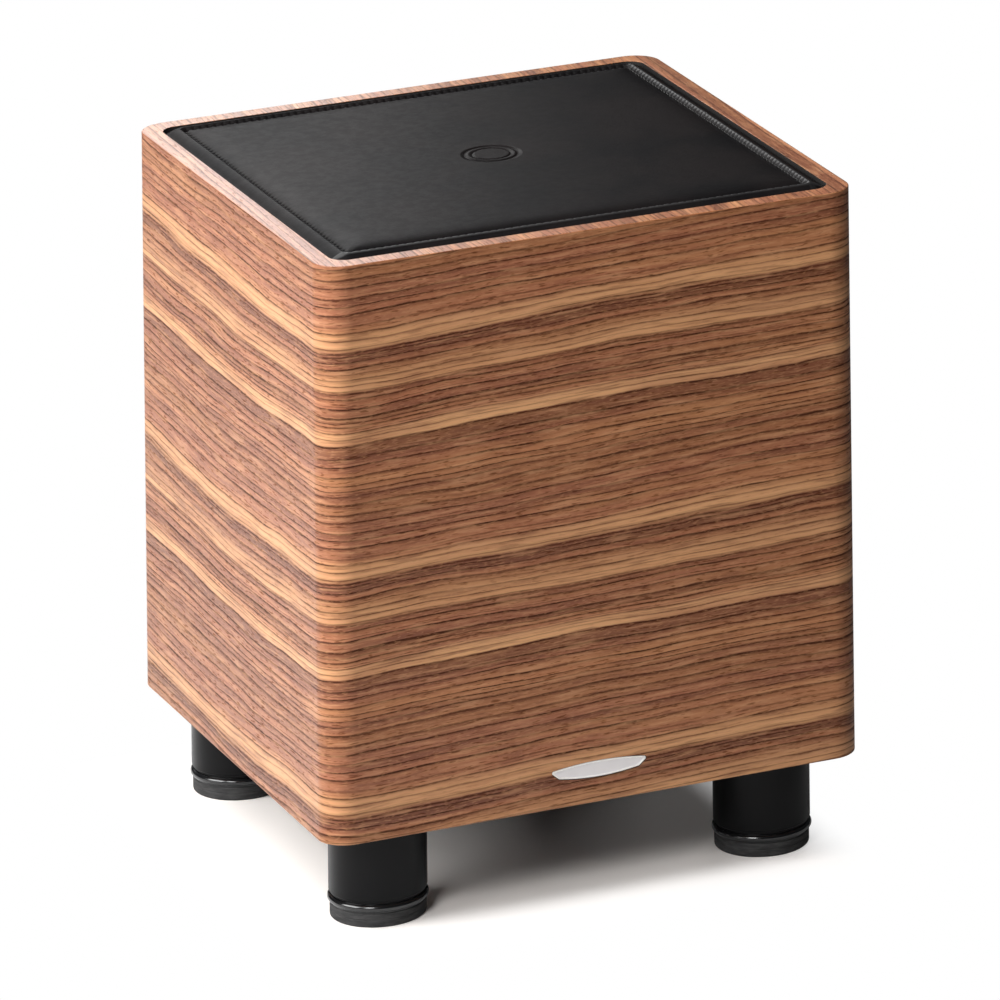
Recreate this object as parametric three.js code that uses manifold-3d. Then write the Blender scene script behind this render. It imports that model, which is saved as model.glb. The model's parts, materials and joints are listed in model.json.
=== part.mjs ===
// A powered subwoofer: a veneered cube on four round feet, with a leather pad let into its top,
// a down-firing driver in its base and a plate amplifier in a recess in its back.
// Millimetres. The origin is the middle of the footprint on the floor, +Z is up, the front faces -Y.
import * as THREE from "three";
import { mergeVertices } from "three/addons/utils/BufferGeometryUtils.js";
import Module from "manifold-3d";

// ---- Driving dimensions ----

const GAP = 0.3; // between any two pieces that touch
const THROUGH = 1; // how far a cutting tool runs past the surface that it cuts

const CABINET_SIZE = 300; // width, depth and height of the veneered cube
const CABINET_BOTTOM = 52; // height of its underside over the floor
const CABINET_TOP = CABINET_BOTTOM + CABINET_SIZE;
const HALF_CABINET = CABINET_SIZE / 2;
const CORNER_RADIUS = 16;
const WALL = 18;
const HALF_CAVITY = HALF_CABINET - WALL;
const HALF_PANEL = HALF_CAVITY - GAP; // the boards that close the box, top and bottom

const TOP_REBATE_DEPTH = 8; // the seat of the leather pad
const TOP_REBATE_HALF = 139.5;
const TOP_REBATE_RADIUS = 9.5;
const PAD_SEAT = CABINET_TOP - TOP_REBATE_DEPTH;
const PAD_HALF = 138.2;
const PAD_RADIUS = 8;
const PAD_TOP = CABINET_TOP + 1;
const LEATHER = 1.6;
const PAD_BOARD = 3;

const BRACE_Y = -75;
const BRACE_THICKNESS = 12;
const BRACE_LEG = 24;
const WADDING = 15;

const FOOT_OFFSET = 108; // of a foot's axis from the middle, in X and in Y
const FOOT_RADIUS = 25.8;
const FOOT_BEAD_RADIUS = 26.6;
const FOOT_PAD_RADIUS = 25.2;
const FOOT_PAD_HEIGHT = 7.2;
const FOOT_BEAD_TOP = 12;
const FOOT_GROOVE_TOP = 13;
const FOOT_COUNTERBORE = { radius: 8.5, top: 24 };
const BOLT = { shank: 4, head: 6.5, headHeight: 8, bore: 4.4, end: 66 };

const NAMEPLATE = { width: 55, middle: 8.4, end: 4.9, thickness: 1.2, height: 17.4 };

const DRIVER_FLANGE_RADIUS = 107;
const DRIVER_FLANGE = 4.7;
const DRIVER_HOLE_RADIUS = 96;
const DRIVER_GASKET = { inner: 97, outer: 106.5, thickness: 1.5 };
const DRIVER_SEAT_DEPTH = DRIVER_FLANGE + DRIVER_GASKET.thickness + 2 * GAP;
const DRIVER_SCREWS = { count: 4, circle: 102.6, shank: 2, head: 3.8, headHeight: 2.3, bore: 2.4, end: 15 };
const CONE = { edge: 79, neck: 26.5, edgeZ: 3, neckZ: 41, thickness: 1.6 };
const ROLL = { middle: 85.7, z: 0.9, radius: 6.15, thickness: 0.9, inner: 76.5, outer: 98 };
const SPIDER = { inner: 26.7, outer: 58, z: 42.6, thickness: 1 };
const COIL = { inner: 25.2, former: 26, winding: 27.2, bottom: 40, windingBottom: 57, top: 81 };
const MOTOR = { seat: 65, plate: 8, magnet: 24, gap: 28.2, pole: 24.2, poleBottom: 67.5, plateRadius: 55 };
const MAGNET = { inner: 35, outer: 60 };

const AMP_WIDTH = 200;
const AMP_HEIGHT = 210;
const AMP_MIDDLE = 200; // height of the middle of the amplifier plate over the floor
const AMP_RECESS_DEPTH = 12;
const AMP_LEDGE = 10;
const AMP_RADIUS = 6;
const AMP_PLATE = { front: -7.5, back: -10.5 };
const AMP_GASKET = { front: -10.8, back: -11.7 };
const AMP_SCREW_AT = { x: 94.6, y: 99.6 };
const AMP_SCREW = { shank: 1.8, head: 3.6, headHeight: 2, bore: 2.2, end: -16.5 };
const AMP_TOP = -0.5; // the highest any control stands, just inside the cabinet's back
const BOARD = { front: -19, back: -20.6 };

const LEVEL_KNOB_AT = [-68, 72];
const CROSSOVER_KNOB_AT = [-68, 32];
const PHASE_KNOB_AT = [-68, -8];
const KNOB = { skirt: 10.5, body: 9.2, top: 8.4, shaft: 3, bore: 3.5 };
const LED_AT = [-68, -44];
const JACKS_AT = { left: [56, 76], right: [80, 76] };
const JACK = { flange: 6, barrel: 4.15, tail: 3.6, bore: 4, mouth: 2.6 };
const TOGGLE_AT = [68, 40];
const TOGGLE_PIVOT = -11;
const SPEAKER_INPUT_AT = [66, 0];
const INLET_AT = [42, -74];
const ROCKER_AT = [-24, -74];
const ROCKER_PIVOT = -7.5;
const ROCKER_TILT = THREE.MathUtils.degToRad(10);

const ROUND = 32; // segments of a large round piece
const INNER_ROUND = 24; // and of one that is out of sight
const SMALL_ROUND = 16;

// ---- Frames of the sub-assemblies ----

// Seen from behind: x to the right, y up, z out of the cabinet's back.
const AMP_FRAME = new THREE.Matrix4()
  .makeBasis(new THREE.Vector3(-1, 0, 0), new THREE.Vector3(0, 0, 1), new THREE.Vector3(0, 1, 0))
  .setPosition(0, HALF_CABINET, AMP_MIDDLE);

// Seen from the front: x to the right, y up, z out of the cabinet's front.
const NAMEPLATE_FRAME = new THREE.Matrix4()
  .makeBasis(new THREE.Vector3(1, 0, 0), new THREE.Vector3(0, 0, 1), new THREE.Vector3(0, -1, 0))
  .setPosition(0, -HALF_CABINET, CABINET_BOTTOM + NAMEPLATE.height);

// ---- Materials ----

const finish = (color, roughness, metalness = 0) =>
  new THREE.MeshStandardMaterial({ color, roughness, metalness });

const MATERIALS = {
  veneer: finish(0x7d543a, 0.42),
  board: finish(0xb08d62, 0.85),
  blackPaint: finish(0x1c1b1a, 0.55),
  leather: finish(0x2b2a2a, 0.5),
  foam: finish(0xd8d2c0, 0.95),
  wadding: finish(0xe6e4de, 1),
  satinBlack: finish(0x141313, 0.4),
  rubber: finish(0x2e2d2c, 0.85),
  silver: finish(0xc9c8c4, 0.3, 1),
  steel: finish(0x8e8e8c, 0.4, 1),
  ferrite: finish(0x35353a, 0.6),
  castMetal: finish(0x232326, 0.5, 0.6),
  paper: finish(0x1b1b1c, 0.75),
  cloth: finish(0xb59a4c, 0.9),
  copper: finish(0xb8703a, 0.35, 1),
  plastic: finish(0x18181a, 0.5),
  circuitBoard: finish(0x1d5a35, 0.5),
  gold: finish(0xd4af5a, 0.3, 1),
  lamp: finish(0x3ad06a, 0.2),
  tape: finish(0xd9b23a, 0.6),
};

// ---- Shape helpers ----

const wasm = await Module();
wasm.setup();

function solidOf(geometry) {
  const bare = geometry.clone();
  bare.deleteAttribute("normal");
  bare.deleteAttribute("uv");
  const merged = mergeVertices(bare, 1e-3);
  const mesh = new wasm.Mesh({
    numProp: 3,
    vertProperties: merged.attributes.position.array,
    triVerts: new Uint32Array(merged.index.array),
  });
  return new wasm.Manifold(mesh);
}

function geometryOf(solid) {
  const mesh = solid.getMesh();
  const geometry = new THREE.BufferGeometry();
  geometry.setAttribute("position", new THREE.BufferAttribute(mesh.vertProperties, 3));
  geometry.setIndex(new THREE.BufferAttribute(mesh.triVerts, 1));
  geometry.computeVertexNormals();
  return geometry;
}

function cut(geometry, tools) {
  let solid = solidOf(geometry);
  for (const tool of tools) solid = solid.subtract(solidOf(tool));
  return geometryOf(solid);
}

function join(geometries) {
  let solid = solidOf(geometries[0]);
  for (const other of geometries.slice(1)) solid = solid.add(solidOf(other));
  return geometryOf(solid);
}

// A box between its lowest and highest x, y and z.
function block([x0, x1], [y0, y1], [z0, z1]) {
  const geometry = new THREE.BoxGeometry(x1 - x0, y1 - y0, z1 - z0);
  return geometry.translate((x0 + x1) / 2, (y0 + y1) / 2, (z0 + z1) / 2);
}

// A box from the middle and size of its outline, between two heights.
function plate([x, y], width, height, z0, z1) {
  return block([x - width / 2, x + width / 2], [y - height / 2, y + height / 2], [z0, z1]);
}

function rod(radius, z0, z1, [x, y] = [0, 0], segments = SMALL_ROUND) {
  const geometry = new THREE.CylinderGeometry(radius, radius, z1 - z0, segments);
  return geometry.rotateX(Math.PI / 2).translate(x, y, (z0 + z1) / 2);
}

// A solid of revolution about Z from [radius, height] points. A profile off the axis is closed.
function turned(profile, segments = ROUND) {
  const points = profile.map(([radius, height]) => new THREE.Vector2(radius, height));
  const onAxis = profile[0][0] === 0;
  if (!onAxis) points.push(points[0].clone());
  if (THREE.ShapeUtils.area(points) < 0) points.reverse();
  return new THREE.LatheGeometry(points, segments).rotateX(Math.PI / 2);
}

function ring(inner, outer, z0, z1, segments = ROUND) {
  return turned([[inner, z0], [outer, z0], [outer, z1], [inner, z1]], segments);
}

function roundedRectangle(width, height, radius) {
  const x = width / 2;
  const y = height / 2;
  const shape = new THREE.Shape();
  shape.absarc(x - radius, y - radius, radius, 0, Math.PI / 2);
  shape.absarc(radius - x, y - radius, radius, Math.PI / 2, Math.PI);
  shape.absarc(radius - x, radius - y, radius, Math.PI, 1.5 * Math.PI);
  shape.absarc(x - radius, radius - y, radius, 1.5 * Math.PI, 2 * Math.PI);
  return shape;
}

function slab(shape, z0, z1, curveSegments = 5) {
  const geometry = new THREE.ExtrudeGeometry(shape, { depth: z1 - z0, bevelEnabled: false, curveSegments });
  return geometry.translate(0, 0, z0);
}

function tube(points, radius) {
  const path = new THREE.CatmullRomCurve3(points.map((point) => new THREE.Vector3(...point)));
  const section = new THREE.Shape().absarc(0, 0, radius, 0, 2 * Math.PI);
  return new THREE.ExtrudeGeometry(section, { steps: 10, curveSegments: 6, extrudePath: path });
}

// Points at equal angles round the Z axis.
function around(count, radius, start = 0) {
  return Array.from({ length: count }, (_, i) => {
    const angle = start + (2 * Math.PI * i) / count;
    return [radius * Math.cos(angle), radius * Math.sin(angle)];
  });
}

function piece(name, geometry, material) {
  const mesh = new THREE.Mesh(geometry, material);
  mesh.name = name;
  return mesh;
}

function assembly(...members) {
  return new THREE.Group().add(...members);
}

// ---- Cabinet ----

const FEET = {
  front_left: [-FOOT_OFFSET, -FOOT_OFFSET],
  front_right: [FOOT_OFFSET, -FOOT_OFFSET],
  rear_left: [-FOOT_OFFSET, FOOT_OFFSET],
  rear_right: [FOOT_OFFSET, FOOT_OFFSET],
};
const DRIVER_SCREW_POINTS = around(DRIVER_SCREWS.count, DRIVER_SCREWS.circle);
const AMP_SCREW_POINTS = [
  [-AMP_SCREW_AT.x, -AMP_SCREW_AT.y],
  [AMP_SCREW_AT.x, -AMP_SCREW_AT.y],
  [-AMP_SCREW_AT.x, AMP_SCREW_AT.y],
  [AMP_SCREW_AT.x, AMP_SCREW_AT.y],
];

// A plate with bowed long edges and straight short ends; grow widens it all round.
function nameplateShape(grow) {
  const x = NAMEPLATE.width / 2 + grow;
  const end = NAMEPLATE.end / 2 + grow;
  const bow = 2 * (NAMEPLATE.middle / 2 + grow) - end; // a quadratic curve reaches half way to its handle
  const shape = new THREE.Shape();
  shape.moveTo(-x, -end);
  shape.quadraticCurveTo(0, -bow, x, -end);
  shape.lineTo(x, end);
  shape.quadraticCurveTo(0, bow, -x, end);
  return shape;
}

// The four walls, folded round rounded corners from one veneered board.
function cabinetWrap() {
  const outside = slab(roundedRectangle(CABINET_SIZE, CABINET_SIZE, CORNER_RADIUS), CABINET_BOTTOM, CABINET_TOP);
  const across = [-HALF_CAVITY, HALF_CAVITY];
  const cavity = block(across, across, [CABINET_BOTTOM - THROUGH, CABINET_TOP + THROUGH]);
  const rebateOutline = roundedRectangle(2 * TOP_REBATE_HALF, 2 * TOP_REBATE_HALF, TOP_REBATE_RADIUS);
  const topRebate = slab(rebateOutline, PAD_SEAT, CABINET_TOP + THROUGH);
  const ampOutline = roundedRectangle(AMP_WIDTH + 2 * GAP, AMP_HEIGHT + 2 * GAP, AMP_RADIUS + GAP);
  const ampRecess = slab(ampOutline, -AMP_RECESS_DEPTH, THROUGH).applyMatrix4(AMP_FRAME);
  const openingWidth = AMP_WIDTH - 2 * AMP_LEDGE;
  const openingHeight = AMP_HEIGHT - 2 * AMP_LEDGE;
  const ampOpening = plate([0, 0], openingWidth, openingHeight, -WALL - THROUGH, THROUGH).applyMatrix4(AMP_FRAME);
  const screwHoles = AMP_SCREW_POINTS.map((point) =>
    rod(AMP_SCREW.bore, AMP_SCREW.end - GAP, 0, point, 8).applyMatrix4(AMP_FRAME),
  );
  const pocketDepth = NAMEPLATE.thickness + GAP;
  const pocket = slab(nameplateShape(GAP), -pocketDepth, THROUGH).applyMatrix4(NAMEPLATE_FRAME);
  const tools = [cavity, topRebate, ampRecess, ampOpening, pocket, ...screwHoles];
  return piece("cabinet_wrap", cut(outside, tools), MATERIALS.veneer);
}

function basePanel() {
  const across = [-HALF_PANEL, HALF_PANEL];
  const top = CABINET_BOTTOM + WALL;
  const board = block(across, across, [CABINET_BOTTOM, top]);
  const seatTop = CABINET_BOTTOM + DRIVER_SEAT_DEPTH;
  const driverSeat = rod(DRIVER_FLANGE_RADIUS + 2 * GAP, CABINET_BOTTOM - THROUGH, seatTop, [0, 0], ROUND);
  const driverHole = rod(DRIVER_HOLE_RADIUS, CABINET_BOTTOM - THROUGH, top + THROUGH, [0, 0], ROUND);
  const boltHoles = Object.values(FEET).map((point) =>
    rod(BOLT.bore, CABINET_BOTTOM - THROUGH, top + THROUGH, point, 12),
  );
  const screwHoles = DRIVER_SCREW_POINTS.map((point) =>
    rod(DRIVER_SCREWS.bore, CABINET_BOTTOM, top + THROUGH, point, 8),
  );
  const tools = [driverSeat, driverHole, ...boltHoles, ...screwHoles];
  return piece("base_panel", cut(board, tools), MATERIALS.blackPaint);
}

function topPanel() {
  const across = [-HALF_PANEL, HALF_PANEL];
  return piece("top_panel", block(across, across, [PAD_SEAT - WALL, PAD_SEAT - GAP]), MATERIALS.board);
}

// An arch that ties the side walls and the top together in front of the driver.
function windowBrace() {
  const floor = CABINET_BOTTOM + WALL + GAP;
  const ceiling = PAD_SEAT - WALL - GAP;
  const through = [BRACE_Y - BRACE_THICKNESS / 2, BRACE_Y + BRACE_THICKNESS / 2];
  const board = block([-HALF_PANEL, HALF_PANEL], through, [floor, ceiling]);
  const half = HALF_PANEL - BRACE_LEG;
  const deep = [through[0] - THROUGH, through[1] + THROUGH];
  const window = block([-half, half], deep, [floor - THROUGH, ceiling - BRACE_LEG]);
  return piece("window_brace", cut(board, [window]), MATERIALS.board);
}

// Sheets of damping wadding on the side walls, behind the brace.
function wadding() {
  const depth = [BRACE_Y + BRACE_THICKNESS, HALF_CAVITY - WADDING * 2];
  const height = [CABINET_BOTTOM + WALL + GAP, PAD_SEAT - WALL - GAP];
  const sheets = { wadding_left: -1, wadding_right: 1 };
  return Object.entries(sheets).map(([name, side]) => {
    const faces = [side * (HALF_PANEL - WADDING), side * HALF_PANEL].sort((a, b) => a - b);
    return piece(name, block(faces, depth, height), MATERIALS.wadding);
  });
}

function nameplate() {
  const badge = piece("nameplate", slab(nameplateShape(0), -NAMEPLATE.thickness, 0), MATERIALS.silver);
  badge.applyMatrix4(NAMEPLATE_FRAME);
  return badge;
}

// A board and a sheet of foam inside a leather cover that is turned down round their edges.
function topPad() {
  const bottom = PAD_SEAT + GAP;
  const outline = roundedRectangle(2 * PAD_HALF, 2 * PAD_HALF, PAD_RADIUS);
  const inside = PAD_HALF - LEATHER;
  const hollow = roundedRectangle(2 * inside, 2 * inside, PAD_RADIUS - LEATHER);
  const core = roundedRectangle(2 * (inside - GAP), 2 * (inside - GAP), PAD_RADIUS - LEATHER - GAP);
  const cover = cut(slab(outline, bottom, PAD_TOP), [slab(hollow, bottom - THROUGH, PAD_TOP - LEATHER)]);
  const foamBottom = bottom + PAD_BOARD + GAP;
  return [
    piece("leather_cover", cover, MATERIALS.leather),
    piece("pad_foam", slab(core, foamBottom, PAD_TOP - LEATHER - GAP, 3), MATERIALS.foam),
    piece("pad_board", slab(core, bottom, bottom + PAD_BOARD, 3), MATERIALS.board),
  ];
}

// ---- Feet ----

// A turned column over a groove and a bead, with a rubber pad under it and a bolt up through it.
function foot(name, [x, y]) {
  const padTop = FOOT_PAD_HEIGHT + GAP;
  const beadMiddle = (padTop + FOOT_BEAD_TOP) / 2;
  const column = turned([
    [BOLT.bore, FOOT_COUNTERBORE.top],
    [FOOT_COUNTERBORE.radius, FOOT_COUNTERBORE.top],
    [FOOT_COUNTERBORE.radius, padTop],
    [FOOT_PAD_RADIUS, padTop],
    [FOOT_BEAD_RADIUS, beadMiddle - 1],
    [FOOT_BEAD_RADIUS, beadMiddle + 1],
    [FOOT_PAD_RADIUS, FOOT_BEAD_TOP],
    [FOOT_PAD_RADIUS, FOOT_GROOVE_TOP],
    [FOOT_RADIUS, FOOT_GROOVE_TOP],
    [FOOT_RADIUS, CABINET_BOTTOM - GAP],
    [BOLT.bore, CABINET_BOTTOM - GAP],
  ], 24);
  const chamfer = 0.8;
  const rubber = turned([
    [0, 0],
    [FOOT_PAD_RADIUS - chamfer, 0],
    [FOOT_PAD_RADIUS, chamfer],
    [FOOT_PAD_RADIUS, FOOT_PAD_HEIGHT],
    [0, FOOT_PAD_HEIGHT],
  ], 24);
  const headTop = FOOT_COUNTERBORE.top - GAP;
  const bolt = turned([
    [0, headTop - BOLT.headHeight],
    [BOLT.head, headTop - BOLT.headHeight],
    [BOLT.head, headTop],
    [BOLT.shank, headTop],
    [BOLT.shank, BOLT.end],
    [0, BOLT.end],
  ], 10);
  const group = assembly(
    piece("foot_column_" + name, column, MATERIALS.satinBlack),
    piece("foot_pad_" + name, rubber, MATERIALS.rubber),
    piece("foot_bolt_" + name, bolt, MATERIALS.steel),
  );
  group.position.set(x, y, 0);
  return group;
}

// ---- Driver, from the plane of the cabinet's underside, with z up into the box ----

function driverBasket() {
  const wall = 2.5;
  const lip = { radius: ROLL.outer + GAP, depth: 1.8 };
  const shoulder = { radius: 62, z: 44 };
  const profile = [
    [lip.radius, 0],
    [DRIVER_FLANGE_RADIUS, 0],
    [DRIVER_FLANGE_RADIUS, DRIVER_FLANGE],
    [DRIVER_HOLE_RADIUS - 2, DRIVER_FLANGE],
    [shoulder.radius + wall, shoulder.z],
    [shoulder.radius + wall, MOTOR.seat],
    [MAGNET.inner, MOTOR.seat],
    [MAGNET.inner, MOTOR.seat - wall],
    [shoulder.radius, MOTOR.seat - wall],
    [shoulder.radius, shoulder.z + wall],
    [SPIDER.outer - 4, shoulder.z + wall],
    [SPIDER.outer - 4, shoulder.z],
    [shoulder.radius, shoulder.z],
    [ROLL.middle + ROLL.radius, lip.depth],
    [lip.radius, lip.depth],
  ];
  const windows = around(6, 80, Math.PI / 6).map(([x, y]) => {
    const tool = block([-22, 22], [-17, 17], [13, 36]);
    return tool.rotateZ(Math.atan2(y, x)).translate(x, y, 0);
  });
  const holes = DRIVER_SCREW_POINTS.map((point) =>
    rod(DRIVER_SCREWS.bore, -THROUGH, DRIVER_FLANGE + THROUGH, point, 8),
  );
  const terminals = block([-8, 8], [shoulder.radius, shoulder.radius + 6], [50, 58]);
  const shell = cut(turned(profile), [...windows, ...holes]);
  return piece("driver_basket", join([shell, terminals]), MATERIALS.castMetal);
}

function driverGasket() {
  const bottom = DRIVER_FLANGE + GAP;
  const top = bottom + DRIVER_GASKET.thickness;
  const holes = DRIVER_SCREW_POINTS.map((point) =>
    rod(DRIVER_SCREWS.bore, bottom - THROUGH, top + THROUGH, point, 8),
  );
  const band = ring(DRIVER_GASKET.inner, DRIVER_GASKET.outer, bottom, top);
  return piece("driver_gasket", cut(band, holes), MATERIALS.rubber);
}

function driverMotor() {
  const plateBottom = MOTOR.seat + GAP;
  const plateTop = plateBottom + MOTOR.plate;
  const magnetBottom = plateTop + GAP;
  const magnetTop = magnetBottom + MOTOR.magnet;
  const yokeBottom = magnetTop + GAP;
  const yoke = turned([
    [0, MOTOR.poleBottom],
    [MOTOR.pole, MOTOR.poleBottom],
    [MOTOR.pole, yokeBottom],
    [MOTOR.plateRadius, yokeBottom],
    [MOTOR.plateRadius, yokeBottom + MOTOR.plate],
    [0, yokeBottom + MOTOR.plate],
  ], INNER_ROUND);
  const frontPlate = ring(MOTOR.gap, MOTOR.plateRadius, plateBottom, plateTop, INNER_ROUND);
  const magnet = ring(MAGNET.inner, MAGNET.outer, magnetBottom, magnetTop, INNER_ROUND);
  return [
    piece("motor_front_plate", frontPlate, MATERIALS.steel),
    piece("magnet_ring", magnet, MATERIALS.ferrite),
    piece("pole_yoke", yoke, MATERIALS.steel),
  ];
}

function driverCone() {
  const slope = (CONE.neckZ - CONE.edgeZ) / (CONE.edge - CONE.neck);
  const atRadius = (radius) => CONE.neckZ - slope * (radius - CONE.neck);
  const cone = turned([
    [CONE.neck, CONE.neckZ],
    [CONE.edge, CONE.edgeZ],
    [CONE.edge, CONE.edgeZ + CONE.thickness],
    [CONE.neck, CONE.neckZ + CONE.thickness - GAP],
  ]);
  const capRadius = 32;
  const capDepth = 13;
  const capWall = 1;
  const rim = atRadius(capRadius) - 2 * GAP;
  const face = (radius, shift) => rim - capDepth * (1 - (radius / capRadius) ** 2) + shift;
  const radii = [0, 11, 22, capRadius];
  const under = radii.map((radius) => [radius, face(radius, -capWall)]);
  const over = radii.map((radius) => [radius, face(radius, 0)]).reverse();
  const cap = turned([...under, ...over]);
  return [piece("cone", cone, MATERIALS.paper), piece("dust_cap", cap, MATERIALS.paper)];
}

// A half roll that hangs below the flange, with a flat lip on each side.
function driverSurround() {
  const steps = 6;
  const arc = (radius) =>
    Array.from({ length: steps + 1 }, (_, i) => {
      const angle = (-Math.PI * i) / steps;
      return [ROLL.middle + radius * Math.cos(angle), ROLL.z + radius * Math.sin(angle)];
    });
  const half = ROLL.thickness / 2;
  const lipBottom = ROLL.z - half;
  const lipTop = ROLL.z + half;
  const profile = [
    [ROLL.outer, lipBottom],
    [ROLL.outer, lipTop],
    [ROLL.middle + ROLL.radius - half, lipTop],
    ...arc(ROLL.radius - half),
    [ROLL.middle - ROLL.radius + half, lipTop],
    [ROLL.inner, lipTop],
    [ROLL.inner, lipBottom],
    ...arc(ROLL.radius + half).reverse().slice(1, -1),
  ];
  return piece("surround", turned(profile), MATERIALS.rubber);
}

function driverSuspension() {
  const spider = ring(SPIDER.inner, SPIDER.outer, SPIDER.z, SPIDER.z + SPIDER.thickness, INNER_ROUND);
  const coil = turned([
    [COIL.inner, COIL.bottom],
    [COIL.former, COIL.bottom],
    [COIL.former, COIL.windingBottom],
    [COIL.winding, COIL.windingBottom],
    [COIL.winding, COIL.top],
    [COIL.inner, COIL.top],
  ], INNER_ROUND);
  return [piece("spider", spider, MATERIALS.cloth), piece("voice_coil", coil, MATERIALS.copper)];
}

function driverScrews() {
  const headTop = -GAP;
  const shape = [
    [0, headTop - DRIVER_SCREWS.headHeight],
    [DRIVER_SCREWS.head, headTop - DRIVER_SCREWS.headHeight],
    [DRIVER_SCREWS.head, headTop],
    [DRIVER_SCREWS.shank, headTop],
    [DRIVER_SCREWS.shank, DRIVER_SCREWS.end],
    [0, DRIVER_SCREWS.end],
  ];
  return DRIVER_SCREW_POINTS.map(([x, y], index) => {
    const screw = piece("driver_screw_" + (index + 1), turned(shape, 10), MATERIALS.steel);
    screw.position.set(x, y, 0);
    return screw;
  });
}

function driver() {
  const group = assembly(
    driverBasket(),
    driverGasket(),
    ...driverMotor(),
    ...driverCone(),
    driverSurround(),
    ...driverSuspension(),
    ...driverScrews(),
  );
  group.position.set(0, 0, CABINET_BOTTOM);
  return group;
}

// ---- Amplifier, in the frame of the recess in the cabinet's back ----

const SURFACE = AMP_PLATE.front + GAP; // where the things on the amplifier plate stand
const LEVER_BORE = 3.2;
const BUSH = { radius: 4.6, nut: 5.8, top: -5, bottom: -14, bore: 4.9 };
const TERMINAL_CUTOUT = [34, 20];
const INLET_CUTOUT = [46, 28];
const ROCKER_CUTOUT = [28, 20];

function ampPanel() {
  const sheet = slab(roundedRectangle(AMP_WIDTH, AMP_HEIGHT, AMP_RADIUS), AMP_PLATE.back, AMP_PLATE.front);
  const from = AMP_PLATE.back - THROUGH;
  const to = AMP_PLATE.front + THROUGH;
  const hole = (radius, point, segments) => rod(radius, from, to, point, segments);
  const window = (point, [width, height]) => plate(point, width + 2 * GAP, height + 2 * GAP, from, to);
  const tools = [
    ...AMP_SCREW_POINTS.map((point) => hole(AMP_SCREW.bore, point, 8)),
    ...[LEVEL_KNOB_AT, CROSSOVER_KNOB_AT, PHASE_KNOB_AT].map((point) => hole(KNOB.bore, point, 12)),
    ...Object.values(JACKS_AT).map((point) => hole(JACK.bore, point, 12)),
    hole(BUSH.bore, TOGGLE_AT, 12),
    hole(2.9, LED_AT, 12),
    window(SPEAKER_INPUT_AT, TERMINAL_CUTOUT),
    window(INLET_AT, INLET_CUTOUT),
    window(ROCKER_AT, ROCKER_CUTOUT),
  ];
  return piece("amp_panel", cut(sheet, tools), MATERIALS.blackPaint);
}

function ampGasket() {
  const sheet = slab(
    roundedRectangle(AMP_WIDTH - 1, AMP_HEIGHT - 1, AMP_RADIUS), AMP_GASKET.back, AMP_GASKET.front, 4,
  );
  const from = AMP_GASKET.back - THROUGH;
  const opening = plate([0, 0], AMP_WIDTH - 2 * AMP_LEDGE, AMP_HEIGHT - 2 * AMP_LEDGE, from, 0);
  const holes = AMP_SCREW_POINTS.map((point) => rod(AMP_SCREW.bore, from, 0, point, 8));
  return piece("amp_gasket", cut(sheet, [opening, ...holes]), MATERIALS.rubber);
}

function ampScrews() {
  const shape = [
    [0, AMP_SCREW.end],
    [AMP_SCREW.shank, AMP_SCREW.end],
    [AMP_SCREW.shank, SURFACE],
    [AMP_SCREW.head, SURFACE],
    [AMP_SCREW.head, SURFACE + AMP_SCREW.headHeight],
    [0, SURFACE + AMP_SCREW.headHeight],
  ];
  return AMP_SCREW_POINTS.map(([x, y], index) => {
    const screw = piece("amp_screw_" + (index + 1), turned(shape, 12), MATERIALS.steel);
    screw.position.set(x, y, 0);
    return screw;
  });
}

function heatsink() {
  const half = 36;
  const height = [-30, 92];
  const base = block([-half, half], height, [SURFACE, SURFACE + 1.5]);
  const fins = [-4, -3, -2, -1, 0, 1, 2, 3, 4].map((step) => {
    const x = (step * (half - 1)) / 4;
    return block([x - 1, x + 1], height, [SURFACE, AMP_TOP]);
  });
  return piece("heatsink", join([base, ...fins]), MATERIALS.blackPaint);
}

// The circuit board, with the bodies of the three controls in front and the tall parts behind.
function ampBoard() {
  const lower = block([-88, 88], [-92, -24], [BOARD.back, BOARD.front]);
  const arm = block([-88, -48], [-30, 86], [BOARD.back, BOARD.front]);
  const controlFront = AMP_PLATE.back - 1.6;
  const controls = [LEVEL_KNOB_AT, CROSSOVER_KNOB_AT, PHASE_KNOB_AT].map((point) =>
    rod(8, BOARD.front - 0.5, controlFront, point, 12),
  );
  const capacitors = [[-40, -60], [-10, -60]].map((point) => rod(11, -52, BOARD.back + 0.5, point, 16));
  const relay = plate([30, -50], 22, 16, -36, BOARD.back + 0.5);
  const transistorBar = plate([66, -60], 30, 50, -30, BOARD.back + 0.5);
  const shapes = [lower, arm, ...controls, ...capacitors, relay, transistorBar];
  return piece("amp_board", join(shapes), MATERIALS.circuitBoard);
}

function transformer() {
  const radius = 38;
  const hole = 13;
  const front = AMP_PLATE.back - GAP;
  const back = front - 34;
  const round = 6;
  const core = turned([
    [hole + round, front],
    [radius - round, front],
    [radius, front - round],
    [radius, back + round],
    [radius - round, back],
    [hole + round, back],
    [hole, back + round],
    [hole, front - round],
  ], 20);
  const ringCore = piece("transformer", core, MATERIALS.tape);
  ringCore.position.set(10, 46, 0);
  return ringCore;
}

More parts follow.
